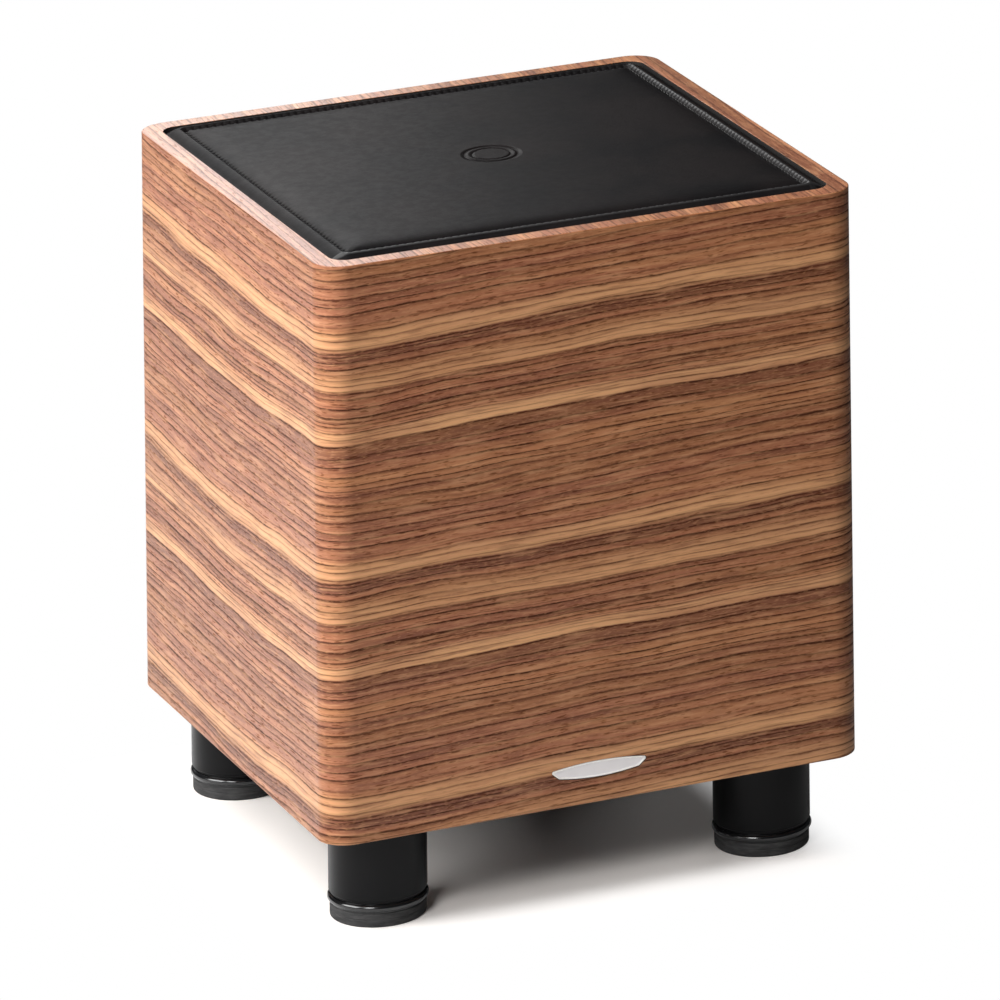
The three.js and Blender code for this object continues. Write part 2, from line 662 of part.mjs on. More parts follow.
// A control knob on its shaft, with a groove in its face as a pointer.
function knob(name, [x, y]) {
  const body = turned([
    [0, AMP_PLATE.back - 1.2],
    [KNOB.shaft, AMP_PLATE.back - 1.2],
    [KNOB.shaft, SURFACE],
    [KNOB.skirt, SURFACE],
    [KNOB.skirt, SURFACE + 1.2],
    [KNOB.body, SURFACE + 1.8],
    [KNOB.top, AMP_TOP],
    [0, AMP_TOP],
  ], 24);
  const pointer = block([-0.7, 0.7], [2, KNOB.skirt + THROUGH], [AMP_TOP - 0.8, THROUGH]);
  const control = piece(name, cut(body, [pointer]), MATERIALS.plastic);
  control.position.set(x, y, 0);
  return control;
}

function lineJack(name, [x, y]) {
  const socket = turned([
    [0, -17],
    [JACK.tail, -17],
    [JACK.tail, SURFACE],
    [JACK.flange, SURFACE],
    [JACK.flange, SURFACE + 1.4],
    [JACK.barrel, SURFACE + 1.4],
    [JACK.barrel, AMP_TOP],
    [JACK.mouth, AMP_TOP],
    [JACK.mouth, SURFACE],
    [0, SURFACE],
  ], 16);
  const jack = piece(name, socket, MATERIALS.gold);
  jack.position.set(x, y, 0);
  return jack;
}

function modeToggle() {
  const bush = turned([
    [LEVER_BORE, BUSH.bottom],
    [BUSH.radius, BUSH.bottom],
    [BUSH.radius, SURFACE],
    [BUSH.nut, SURFACE],
    [BUSH.nut, SURFACE + 1.2],
    [BUSH.radius, SURFACE + 1.2],
    [BUSH.radius, BUSH.top],
    [LEVER_BORE, BUSH.top],
  ], 16);
  const lever = turned([
    [0, -2],
    [1.4, -2],
    [1.2, 6],
    [1.9, 9],
    [1.7, 10.2],
    [0, 10.5],
  ], 12);
  const handle = piece("mode_toggle", lever, MATERIALS.steel);
  handle.position.z = TOGGLE_PIVOT;
  const group = assembly(piece("toggle_bush", bush, MATERIALS.steel), handle);
  group.position.set(...TOGGLE_AT, 0);
  return group;
}

function statusLamp() {
  const lamp = turned([[0, -15], [2.5, -15], [2.5, -6.6], [1.8, -5.6], [0, -5.2]], 12);
  const light = piece("status_lamp", lamp, MATERIALS.lamp);
  light.position.set(...LED_AT, 0);
  return light;
}

// Four sprung clips for bare speaker wire, on one moulding.
function speakerInput() {
  const base = plate([0, 0], 42, 28, SURFACE, SURFACE + 2);
  const back = plate([0, 0], ...TERMINAL_CUTOUT, -15, SURFACE + 0.5);
  const clips = [-15, -5, 5, 15].map((x) => plate([x, 4], 6, 12, SURFACE, AMP_TOP - 1));
  const wireHoles = [-15, -5, 5, 15].map((x) => rod(1.6, -12, THROUGH, [x, -8], 8));
  const moulding = piece("speaker_input", cut(join([base, back, ...clips]), wireHoles), MATERIALS.plastic);
  moulding.position.set(...SPEAKER_INPUT_AT, 0);
  return moulding;
}

// The mains socket, with a fuse drawer under its three pins.
function mainsInlet() {
  const faceTop = SURFACE + 2.4;
  const floor = -16;
  const flange = plate([0, 0], 54, 34, SURFACE, faceTop);
  const [bodyWidth, bodyHeight] = INLET_CUTOUT;
  const body = plate([0, 0], bodyWidth, bodyHeight, floor - 1.8, SURFACE + 0.5);
  const socket = plate([0, 4], 26, 16, floor, THROUGH);
  const drawerSlot = plate([0, -9], 24, 5.6, floor, THROUGH);
  const hollow = cut(join([flange, body]), [socket, drawerSlot]);
  const pins = [[-7, 2.5], [0, 6], [7, 2.5]].map((point) => plate(point, 2, 4.5, floor - 0.5, -6.5));
  const drawer = join([
    plate([0, -9], 23, 4.6, floor + GAP, faceTop),
    plate([0, -9], 16, 1.6, faceTop - 1, faceTop + 1),
  ]);
  const group = assembly(
    piece("mains_inlet", join([hollow, ...pins]), MATERIALS.plastic),
    piece("fuse_drawer", drawer, MATERIALS.plastic),
  );
  group.position.set(...INLET_AT, 0);
  return group;
}

// The power switch: a rocker that see-saws across the middle of its frame.
function powerSwitch() {
  const [width, height] = ROCKER_CUTOUT;
  const flange = plate([0, 0], width + 5, height + 5, SURFACE, SURFACE + 1.6);
  const sleeve = plate([0, 0], width, height, -15, SURFACE + 0.5);
  const opening = plate([0, 0], width - 3, height - 3, -15 - THROUGH, THROUGH);
  const frame = piece("rocker_frame", cut(join([flange, sleeve]), [opening]), MATERIALS.plastic);
  const side = new THREE.Shape();
  side.moveTo(-7.6, -3);
  side.lineTo(7.6, -3);
  side.lineTo(7.6, 2.6);
  side.lineTo(0, 1.2);
  side.lineTo(-7.6, 2.6);
  const rockerWidth = width - 4.2;
  // The outline lies across the switch: its x runs up the panel and its y stands out of it.
  const standing = new THREE.Matrix4().makeBasis(
    new THREE.Vector3(0, 1, 0), new THREE.Vector3(0, 0, 1), new THREE.Vector3(1, 0, 0),
  );
  const rockerShape = slab(side, -rockerWidth / 2, rockerWidth / 2).applyMatrix4(standing);
  const rocker = piece("power_rocker", rockerShape, MATERIALS.plastic);
  rocker.position.z = ROCKER_PIVOT;
  rocker.rotation.x = -ROCKER_TILT;
  const group = assembly(frame, rocker);
  group.position.set(...ROCKER_AT, 0);
  return group;
}

function amplifier() {
  const group = assembly(
    ampPanel(),
    ampGasket(),
    ...ampScrews(),
    heatsink(),
    ampBoard(),
    transformer(),
    knob("level_knob", LEVEL_KNOB_AT),
    knob("crossover_knob", CROSSOVER_KNOB_AT),
    knob("phase_knob", PHASE_KNOB_AT),
    lineJack("line_jack_left", JACKS_AT.left),
    lineJack("line_jack_right", JACKS_AT.right),
    modeToggle(),
    statusLamp(),
    speakerInput(),
    mainsInlet(),
    powerSwitch(),
  );
  group.applyMatrix4(AMP_FRAME);
  return group;
}

// From the terminals on the basket up to the back of the circuit board.
function speakerCable() {
  const boardBack = HALF_CABINET + BOARD.back - 1.5;
  const path = [
    [0, 68.6, CABINET_BOTTOM + 54],
    [0, 86, CABINET_BOTTOM + 55],
    [0, 106, CABINET_BOTTOM + 62],
    [2, 118, CABINET_BOTTOM + 72],
    [4, boardBack, CABINET_BOTTOM + 76],
  ];
  return piece("speaker_cable", tube(path, 2.2), MATERIALS.rubber);
}

// ---- The whole subwoofer ----

const subwoofer = assembly(
  cabinetWrap(),
  basePanel(),
  topPanel(),
  windowBrace(),
  ...wadding(),
  nameplate(),
  ...topPad(),
  ...Object.entries(FEET).map(([name, point]) => foot(name, point)),
  driver(),
  amplifier(),
  speakerCable(),
);
subwoofer.name = "subwoofer";

export default subwoofer;
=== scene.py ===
"""Looks of a powered subwoofer: a walnut-veneered cube on round black feet, a stitched leather pad let
into its top, a driver that faces the floor and an amplifier plate in its back.

Metres, +Z up, front towards -Y. The shapes are drawn in millimetres and scaled by MM."""

import json
import math

import bmesh
import bpy
import numpy as np
from mathutils import Matrix, Vector, noise


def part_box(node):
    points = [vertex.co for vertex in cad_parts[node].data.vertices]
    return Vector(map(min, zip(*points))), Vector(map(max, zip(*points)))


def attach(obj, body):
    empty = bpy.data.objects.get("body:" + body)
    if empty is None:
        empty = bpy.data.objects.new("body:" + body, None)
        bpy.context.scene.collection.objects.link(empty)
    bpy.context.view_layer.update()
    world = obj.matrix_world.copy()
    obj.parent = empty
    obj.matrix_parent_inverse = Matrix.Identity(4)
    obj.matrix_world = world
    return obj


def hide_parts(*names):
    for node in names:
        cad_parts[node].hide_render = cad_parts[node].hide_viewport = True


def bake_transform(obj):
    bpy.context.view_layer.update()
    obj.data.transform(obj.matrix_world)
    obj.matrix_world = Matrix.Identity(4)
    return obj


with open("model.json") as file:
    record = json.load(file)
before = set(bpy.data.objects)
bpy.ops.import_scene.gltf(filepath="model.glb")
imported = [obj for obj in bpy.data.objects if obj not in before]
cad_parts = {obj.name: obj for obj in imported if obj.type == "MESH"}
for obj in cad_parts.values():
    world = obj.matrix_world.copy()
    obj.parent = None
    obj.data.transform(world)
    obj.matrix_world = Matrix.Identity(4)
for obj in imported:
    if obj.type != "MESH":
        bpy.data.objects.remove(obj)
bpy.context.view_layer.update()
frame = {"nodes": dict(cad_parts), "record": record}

MM = 0.001
TAU = 2 * math.pi


# ---- Meshes


def add_object(name, mesh):
    """A new object in the scene that holds the mesh."""
    piece = bpy.data.objects.new(name, mesh)
    bpy.context.scene.collection.objects.link(piece)
    return piece


def shade(mesh, sharp_degrees):
    """Smooth shading, with edges sharper than an angle left crisp."""
    mesh.shade_smooth()
    mesh.set_sharp_from_angle(angle=math.radians(sharp_degrees))


def mesh_object(name, points, faces, material=None, sharp_degrees=32):
    """An object from points in millimetres and faces of point indices, turned outwards."""
    mesh = bpy.data.meshes.new(name)
    mesh.from_pydata([Vector(p) * MM for p in points], [], faces)
    build = bmesh.new()
    build.from_mesh(mesh)
    bmesh.ops.recalc_face_normals(build, faces=build.faces)
    build.to_mesh(mesh)
    build.free()
    shade(mesh, sharp_degrees)
    if material:
        mesh.materials.append(material)
    return add_object(name, mesh)


def loop_faces(loop_count, per_loop, closed):
    """Quads between rings of points; closed joins the last ring to the first."""
    faces = []
    last = loop_count if closed else loop_count - 1
    for i in range(last):
        a = i * per_loop
        b = ((i + 1) % loop_count) * per_loop
        for j in range(per_loop):
            k = (j + 1) % per_loop
            faces.append((a + j, a + k, b + k, b + j))
    return faces


def polar(radius_at, segments):
    """Points round the origin, at a radius that depends on the angle."""
    angles = [TAU * j / segments for j in range(segments)]
    return [(radius_at(a) * math.cos(a), radius_at(a) * math.sin(a)) for a in angles]


def circle(radius, segments):
    """Points round a circle."""
    return polar(lambda angle: radius, segments)


def turned(name, profile, material, segments=96, sharp_degrees=32):
    """A solid of revolution about Z from (radius, height) points, which close on themselves or start and
    end on the axis."""
    on_axis = profile[0][0] == 0
    rings = profile[1:-1] if on_axis else profile
    points = [(x, y, height) for radius, height in rings for x, y in circle(radius, segments)]
    faces = loop_faces(len(rings), segments, not on_axis)
    if on_axis:
        first = len(points)
        points.append((0, 0, profile[0][1]))
        points.append((0, 0, profile[-1][1]))
        top = (len(rings) - 1) * segments
        for j in range(segments):
            k = (j + 1) % segments
            faces.append((first, k, j))
            faces.append((first + 1, top + j, top + k))
    return mesh_object(name, points, faces, material, sharp_degrees)


def arc(centre, radius, start_degrees, end_degrees, steps):
    """Points on an arc, from one angle to another."""
    angles = np.radians(np.linspace(start_degrees, end_degrees, steps + 1))
    return [(centre[0] + radius * math.cos(a), centre[1] + radius * math.sin(a)) for a in angles]


def rounded_outline(half_x, half_y, radius, corner_steps, side_steps):
    """Points round a rectangle with round corners, anticlockwise from the middle of its right side."""
    points = []
    corners = [(1, 1), (-1, 1), (-1, -1), (1, -1)]
    for index, (sx, sy) in enumerate(corners):
        centre = (sx * (half_x - radius), sy * (half_y - radius))
        points += arc(centre, radius, 90 * index, 90 * (index + 1), corner_steps)
        next_x, next_y = corners[(index + 1) % 4]
        start = points[-1]
        turn = math.radians(90 * (index + 1))
        end = (next_x * (half_x - radius) + radius * math.cos(turn),
               next_y * (half_y - radius) + radius * math.sin(turn))
        for step in range(1, side_steps):
            share = step / side_steps
            points.append((start[0] + (end[0] - start[0]) * share, start[1] + (end[1] - start[1]) * share))
    return points


def stacked(name, levels, material, sharp_degrees=32):
    """A solid through a stack of outlines, each a list of (x, y) at a height, with flat ends."""
    per_loop = len(levels[0][0])
    points = [(x, y, height) for outline, height in levels for x, y in outline]
    faces = loop_faces(len(levels), per_loop, closed=False)
    faces.append(tuple(range(per_loop)))
    faces.append(tuple(range((len(levels) - 1) * per_loop, len(levels) * per_loop)))
    return mesh_object(name, points, faces, material, sharp_degrees)


def rounded_slab(name, half_x, half_y, radius, low, high, edge, material, corner_steps=6):
    """A plate with rounded corners whose upper edge is eased."""
    def outline(inset):
        inner = max(radius - inset, 0.05)
        return rounded_outline(half_x - inset, half_y - inset, inner, corner_steps, 4)
    levels = [(outline(0), low)]
    for angle in (0, 30, 60, 90):
        turn = math.radians(angle)
        levels.append((outline(edge * (1 - math.cos(turn))), high - edge + edge * math.sin(turn)))
    return stacked(name, levels, material)


def box_points(low, high):
    """The corners of a box."""
    return [(x, y, z) for x in (low[0], high[0]) for y in (low[1], high[1]) for z in (low[2], high[2])]


BOX_FACES = [(0, 1, 3, 2), (4, 6, 7, 5), (0, 4, 5, 1), (2, 3, 7, 6), (0, 2, 6, 4), (1, 5, 7, 3)]


def joined(name, pieces):
    """One object from several."""
    bpy.ops.object.select_all(action="DESELECT")
    for piece in pieces:
        piece.select_set(True)
    bpy.context.view_layer.objects.active = pieces[0]
    bpy.ops.object.join()
    pieces[0].name = name
    return pieces[0]


def apply_modifiers(piece):
    """Bakes the modifiers into the mesh."""
    depsgraph = bpy.context.evaluated_depsgraph_get()
    baked = bpy.data.meshes.new_from_object(piece.evaluated_get(depsgraph))
    piece.modifiers.clear()
    piece.data = baked


def carve(piece, tools):
    """Cuts the tools out of the piece. The cut faces take the tools' materials."""
    for tool in tools:
        modifier = piece.modifiers.new("carve", "BOOLEAN")
        modifier.operation = "DIFFERENCE"
        modifier.solver = "EXACT"
        modifier.material_mode = "TRANSFER"
        modifier.object = tool
    bpy.context.view_layer.update()
    apply_modifiers(piece)
    for tool in tools:
        bpy.data.objects.remove(tool)


def even_normals(piece):
    """Keeps big flat faces flat in the shading where they meet a small rounded edge."""
    modifier = piece.modifiers.new("even normals", "WEIGHTED_NORMAL")
    modifier.keep_sharp = True
    modifier.weight = 80


def place(piece, body, slot, *nodes):
    """The piece rides on a body and stands for some CAD nodes, which are hidden. The slot is not used."""
    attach(piece, body)
    if nodes:
        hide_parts(*nodes)
    return piece


# ---- Materials


def srgb(code):
    """A linear colour from a hexadecimal one such as "7d543a"."""
    channels = [int(code[i:i + 2], 16) / 255 for i in (0, 2, 4)]
    return tuple(c / 12.92 if c <= 0.04045 else ((c + 0.055) / 1.055) ** 2.4 for c in channels) + (1.0,)


class Graph:
    """The node tree of a material or a world, with short calls for the nodes used here."""

    def __init__(self, owner):
        owner.use_nodes = True
        self.tree = owner.node_tree
        self.shader = self.tree.nodes.get("Principled BSDF")
        self.material = owner

    def node(self, kind, inputs=(), **settings):
        """A new node with its settings, and a number or a link for some inputs, by name or index."""
        made = self.tree.nodes.new(kind)
        for key, value in settings.items():
            setattr(made, key, value)
        for key, value in dict(inputs).items():
            self.plug(made.inputs[key], value)
        return made

    def plug(self, socket, value):
        if isinstance(value, bpy.types.NodeSocket):
            self.tree.links.new(value, socket)
        else:
            socket.default_value = value

    def math(self, operation, *values):
        return self.node("ShaderNodeMath", enumerate(values), operation=operation).outputs[0]

    def times(self, a, b):
        return self.math("MULTIPLY", a, b)

    def plus(self, a, b):
        return self.math("ADD", a, b)

    def minus(self, a, b):
        return self.math("SUBTRACT", a, b)

    def most(self, a, b):
        return self.math("MAXIMUM", a, b)

    def rescale(self, value, low, high, to_low=0.0, to_high=1.0):
        inputs = enumerate((value, low, high, to_low, to_high))
        return self.node("ShaderNodeMapRange", inputs, interpolation_type="SMOOTHSTEP").outputs[0]

    def mix(self, share, a, b):
        inputs = {"Factor": share, "A": a, "B": b}
        return self.node("ShaderNodeMix", inputs, data_type="RGBA").outputs["Result"]

    def mix_shaders(self, share, a, b):
        return self.node("ShaderNodeMixShader", enumerate((share, a, b))).outputs[0]

    def object_point(self):
        return self.node("ShaderNodeTexCoord").outputs["Object"]

    def scaled(self, point, scale):
        return self.node("ShaderNodeMapping", {"Vector": point, "Scale": scale}).outputs[0]

    def combined(self, x, y, z):
        return self.node("ShaderNodeCombineXYZ", enumerate((x, y, z))).outputs[0]

    def separated(self, point):
        return self.node("ShaderNodeSeparateXYZ", {0: point}).outputs

    def noise(self, point, scale, detail=3.0, roughness=0.5, distortion=0.0):
        inputs = {"Vector": point, "Scale": scale, "Detail": detail, "Roughness": roughness}
        inputs["Distortion"] = distortion
        return self.node("ShaderNodeTexNoise", inputs).outputs["Fac"]

    def cells(self, point, scale):
        inputs = {"Vector": point, "Scale": scale}
        return self.node("ShaderNodeTexVoronoi", inputs, feature="SMOOTH_F1").outputs["Distance"]

    def bump(self, height, distance_mm, strength=1.0):
        inputs = {"Strength": strength, "Distance": distance_mm * MM, "Height": height}
        return self.node("ShaderNodeBump", inputs).outputs[0]

    def set(self, **values):
        for key, value in values.items():
            self.plug(self.shader.inputs[key.replace("_", " ")], value)


VENEER_PERIOD = 0.121  # the leaf is glued up from layers, so its figure repeats at this height
VENEER_RISE = 0.034  # how much the grain climbs to the right in the middle of the front
VENEER_LENGTH = 1.1725  # once round the cabinet
HALF_FRONT = 0.1466  # from the front left edge, where the grain's u starts, to the middle of the front
VENEER_JOIN = HALF_FRONT - VENEER_LENGTH / 2  # the leaf's ends meet in the middle of the back
VENEER_RINGS = 27  # growth rings in one repeat
# How the rings crowd and spread within one repeat: strength, waves and phase.
VENEER_CROWDING = [(0.4, 2, 1.0), (0.24, 5, 2.6), (0.16, 9, 4.1)]
# Golden stripes within one repeat: depth of the middle, half width and strength.
VENEER_STRIPES = [(0.034, 0.0058, 0.85), (0.056, 0.0062, 0.7), (0.085, 0.0048, 1.0)]
# Zones of close dark pores: depth of the middle, half width and strength.
VENEER_SHADES = [(0.043, 0.005, 0.8), (0.094, 0.006, 0.65), (0.076, 0.004, 0.4), (0.115, 0.006, 0.3)]
# Dark lines beside the stripes: depth, half width and strength.
VENEER_LINES = [(0.0795, 0.0007, 1.0), (0.0774, 0.0006, 0.9), (0.0899, 0.0009, 1.0), (0.0402, 0.0008, 0.9),
                (0.0625, 0.0008, 0.8), (0.0485, 0.0006, 0.7), (0.0268, 0.0007, 0.6)]


def veneer():
    """Level walnut grain that repeats up the cabinet, with golden stripes, dark lines and open pores."""
    g = Graph(bpy.data.materials.new("walnut veneer"))
    u, v, _ = g.separated(g.node("ShaderNodeUVMap", uv_map="Grain").outputs[0])

    def drift(along, across, shift, amount):
        """How far the grain strays from straight, at one scale."""
        point = g.combined(g.times(u, along), g.times(v, across), shift)
        return g.times(g.minus(g.noise(point, 1.0, 2.0), 0.5), amount)

    stray = g.plus(drift(5.0, 14.0, 3.0, 0.012), drift(24.0, 50.0, 9.0, 0.002))
    stray = g.plus(stray, drift(110.0, 240.0, 5.0, 0.0005))
    from_join = g.math("ABSOLUTE", g.minus(u, VENEER_JOIN))
    from_join = g.math("MINIMUM", from_join, g.minus(VENEER_LENGTH, from_join))
    stray = g.times(stray, g.rescale(from_join, 0.0, 0.12))
    way_round = g.times(g.minus(u, HALF_FRONT), TAU / VENEER_LENGTH)
    climb = g.times(g.math("SINE", way_round), VENEER_RISE * VENEER_LENGTH / TAU)
    depth = g.plus(g.minus(climb, v), stray)
    turns = g.times(depth, 1 / VENEER_PERIOD)
    angle = g.times(turns, TAU)
    radius = VENEER_PERIOD / TAU
    round_x = g.times(g.math("COSINE", angle), radius)
    round_y = g.times(g.math("SINE", angle), radius)
    within = g.math("FLOORED_MODULO", depth, VENEER_PERIOD)

    def grain(stretch, scale, detail, shift=0.0):
        """Noise that repeats with the period and is drawn out along the grain."""
        along = g.plus(g.times(u, stretch), shift)
        return g.noise(g.combined(round_x, round_y, along), scale, detail, 0.55)

    def strongest(stripes, profile):
        """The highest of some stripes, each with a profile across its width."""
        most = 0.0
        for middle, half, strength in stripes:
            side = g.times(g.minus(within, middle), 1 / half)
            most = g.most(most, g.times(profile(side), strength))
        return most

    def soft(side):
        """Fades alike to both sides."""
        return g.rescale(g.math("ABSOLUTE", side), 0.2, 1.0, 1.0, 0.0)

    def hard_below(side):
        """Rises slowly from the upper edge and ends at a crisp lower one."""
        return g.times(g.rescale(side, -1.2, 0.2), g.rescale(side, 0.75, 1.0, 1.0, 0.0))

    def rings(count, crowding):
        """The share of the way through a growth ring, and the ring's own number from 0 to 1."""
        place_in_rings = g.times(turns, count)
        for strength, waves, phase in crowding:
            swing = g.math("SINE", g.math("MULTIPLY_ADD", angle, waves, phase))
            place_in_rings = g.math("MULTIPLY_ADD", swing, strength, place_in_rings)
        number = g.math("FLOORED_MODULO", g.math("FLOOR", place_in_rings), count)
        seed = g.plus(number, 0.37 + count)
        lot = g.node("ShaderNodeTexWhiteNoise", {"W": seed}, noise_dimensions="1D")
        return g.math("FRACT", place_in_rings), lot.outputs["Value"]

    facing = g.separated(g.node("ShaderNodeTexCoord").outputs["Normal"])
    on_rim = g.rescale(facing[2], 0.6, 0.9)
    fade = g.rescale(grain(0.06, 240.0, 3.0, 1.7), 0.3, 0.62, 0.45, 1.0)
    gold = g.times(strongest(VENEER_STRIPES, hard_below), fade)
    # On the upward-facing rim the gold stripes fade: painted sheen.
    gold = g.times(gold, g.rescale(on_rim, 0.0, 1.0, 1.0, 0.3))

    base = g.mix(g.rescale(grain(0.03, 95.0, 2.0), 0.36, 0.64), srgb("9b6145"), srgb("b87d52"))
    base = g.mix(g.rescale(grain(0.04, 190.0, 2.0, 5.1), 0.35, 0.7, 0.0, 0.5), base, srgb("a66646"))
    base = g.mix(g.times(strongest(VENEER_SHADES, soft), 0.85), base, srgb("683a26"))
    share, lot = rings(VENEER_RINGS, VENEER_CROWDING)
    tone = g.math("MULTIPLY_ADD", g.minus(share, 0.5), 0.5, g.minus(lot, 0.5))
    base = g.mix(g.rescale(tone, -0.5, 0.6, 0.42, 0.0), base, srgb("66371f"))
    base = g.mix(gold, base, srgb("dea674"))

    crisp = g.most(g.rescale(share, 0.11, 0.21, 1.0, 0.0), g.rescale(share, 0.96, 1.0))
    late = g.most(crisp, g.rescale(share, 0.05, 0.42, 0.55, 0.0))
    runs = g.rescale(grain(0.3, 90.0, 2.0, 7.0), 0.35, 0.6, 0.7, 1.0)
    lines = g.times(late, g.times(g.rescale(lot, 0.0, 0.4, 0.72, 1.0), runs))
    share, lot = rings(59, [(0.6, 3, 0.4), (0.35, 7, 1.9)])
    faint = g.times(g.rescale(share, 0.12, 0.3, 1.0, 0.0), g.rescale(lot, 0.55, 1.0, 0.0, 0.6))
    lines = g.most(lines, g.times(faint, runs))
    lines = g.most(lines, g.times(strongest(VENEER_LINES, soft), runs))
    lines = g.times(lines, g.rescale(gold, 0.2, 0.9, 0.92, 0.5))
    # On the upward-facing rim the dark lines fade a little: painted sheen.
    lines = g.times(lines, g.rescale(on_rim, 0.0, 1.0, 1.0, 0.8))
    base = g.mix(lines, base, srgb("2e1207"))

    def fibre(length, height, shift):
        """Fine noise drawn out along the grain."""
        point = g.combined(g.times(u, length), g.times(depth, height), shift)
        return g.noise(point, 1.0, 2.0)

    streaks = fibre(34.0, 430.0, 8.0)
    base = g.mix(g.rescale(streaks, 0.5, 0.7, 0.0, 0.45), base, srgb("623220"))
    base = g.mix(g.rescale(streaks, 0.5, 0.3, 0.0, 0.4), base, srgb("d09a70"))
    outside_gold = g.rescale(gold, 0.1, 0.6, 1.0, 0.3)
    pores = g.times(g.rescale(fibre(130.0, 1000.0, 0.0), 0.56, 0.68), outside_gold)
    base = g.mix(g.times(pores, 0.55), base, srgb("431f10"))
    silk = fibre(240.0, 1400.0, 4.0)
    base = g.mix(g.rescale(silk, 0.5, 0.7, 0.0, 0.3), base, srgb("cc946a"))

    open_grain = g.most(pores, lines)
    height = g.minus(g.times(silk, 0.3), g.times(open_grain, 0.8))
    g.set(Base_Color=base, Normal=g.bump(height, 0.05, 0.5))
    g.set(Roughness=g.math("MULTIPLY_ADD", open_grain, 0.2, 0.38))
    g.set(Coat_Weight=g.rescale(on_rim, 0.0, 1.0, 0.05, 0.65), Coat_Roughness=0.28)
    g.set(Specular_IOR_Level=g.math("MULTIPLY_ADD", open_grain, -0.3, 0.36))
    return g.material


SEAM = 128.8  # millimetres from the middle of the leather pad to its seam


def leather():
    """Black grained leather: fine pebbles, soft creases and a faint change of sheen, rubbed shiny on the
    ridge beside the front seam and a little beside the right one."""
    g = Graph(bpy.data.materials.new("black leather"))
    point = g.object_point()
    mottled = g.noise(point, 24.0, 4.0)
    pebbles = g.cells(point, 950.0)
    creases = g.noise(point, 420.0, 3.0, 0.6, 1.2)
    clouds = g.noise(point, 180.0, 4.0, 0.7)
    base = g.mix(g.rescale(mottled, 0.3, 0.7), srgb("0e0d0e"), srgb("161313"))
    base = g.mix(g.rescale(pebbles, 0.35, 0.75, 0.0, 0.35), base, srgb("090808"))
    roughness = g.plus(g.rescale(clouds, 0.35, 0.65, 0.37, 0.42), g.times(creases, 0.05))
    height = g.plus(g.times(pebbles, -0.7), g.times(creases, 0.6))
    g.set(Base_Color=base, Roughness=roughness, Normal=g.bump(height, 0.07, 0.5))
    x, y, _ = g.separated(point)

    def ridge(outwards, shine):
        """Shine on the ridge just outside the seam, by the distance outwards from the middle."""
        rise = g.rescale(outwards, (SEAM - 0.4) * MM, (SEAM + 0.8) * MM, 0.0, shine)
        return g.times(rise, g.rescale(outwards, (SEAM + 2.6) * MM, (SEAM + 4.6) * MM, 1.0, 0.0))

    rubbed = g.most(ridge(x, 0.3), ridge(g.times(y, -1.0), 0.9))
    g.set(Specular_IOR_Level=g.plus(rubbed, 0.04))
    return g.material


def twisted_thread():
    """Waxed thread, with a twist along it."""
    g = Graph(bpy.data.materials.new("thread"))
    twist = g.noise(g.object_point(), 2600.0, 2.0)
    g.set(Base_Color=g.mix(twist, srgb("100f0f"), srgb("201e1e")), Normal=g.bump(twist, 0.06, 0.6))
    g.set(Roughness=g.rescale(twist, 0.3, 0.7, 0.42, 0.6))
    return g.material


def lacquer(name, dark, light, roughness, fineness, grain_mm, metallic=0.0, coat=0.0, shine=0.5):
    """Paint, powder coat or moulded plastic: a fine orange peel and a slight drift of colour."""
    g = Graph(bpy.data.materials.new(name))
    point = g.object_point()
    drift = g.noise(point, 14.0, 3.0)
    grain = g.noise(point, fineness, 2.0)
    g.set(Base_Color=g.mix(g.rescale(drift, 0.3, 0.7), srgb(dark), srgb(light)), Metallic=metallic)
    g.set(Roughness=g.rescale(grain, 0.3, 0.7, roughness - 0.04, roughness + 0.05))
    g.set(Normal=g.bump(grain, grain_mm, 0.5), Coat_Weight=coat, Coat_Roughness=0.12)
    g.set(Specular_IOR_Level=shine)
    return g.material


def metal(name, colour, roughness, brushed=(1.0, 1.0, 1.0), strength=0.35, metallic=1.0):
    """Metal brushed along the axis with the smallest scale."""
    g = Graph(bpy.data.materials.new(name))
    streaks = g.noise(g.scaled(g.object_point(), brushed), 900.0, 3.0)
    tone = g.noise(g.object_point(), 40.0, 2.0)
    pale = srgb(colour)
    dim = tuple(c * 0.82 for c in pale[:3]) + (1.0,)
    g.set(Base_Color=g.mix(tone, dim, pale), Metallic=metallic, Normal=g.bump(streaks, 0.02, strength))
    g.set(Roughness=g.rescale(streaks, 0.3, 0.7, roughness - 0.07, roughness + 0.08))
    return g.material


def rubber(name, dark, light, roughness=0.78):
    """Moulded rubber with a dusty bloom in flat streaks."""
    g = Graph(bpy.data.materials.new(name))
    bloom = g.noise(g.scaled(g.object_point(), (1.0, 1.0, 5.0)), 110.0, 5.0, 0.65)
    grain = g.noise(g.object_point(), 1900.0, 2.0)
    g.set(Base_Color=g.mix(g.rescale(bloom, 0.35, 0.7), srgb(dark), srgb(light)))
    g.set(Roughness=g.rescale(bloom, 0.3, 0.7, roughness, roughness + 0.1), Normal=g.bump(grain, 0.05, 0.5))
    return g.material


def pulp(name):
    """Coated paper pulp of a cone, with long pressed fibres."""
    g = Graph(bpy.data.materials.new(name))
    point = g.object_point()
    fibres = g.noise(point, 700.0, 5.0, 0.7, 2.0)
    clouds = g.noise(point, 50.0, 3.0)
    base = g.mix(clouds, srgb("17171a"), srgb("242428"))
    g.set(Base_Color=g.mix(g.rescale(fibres, 0.55, 0.8, 0.0, 0.5), base, srgb("3c3c40")))
    g.set(Roughness=g.rescale(fibres, 0.3, 0.7, 0.55, 0.8), Normal=g.bump(fibres, 0.08, 0.6))
    return g.material


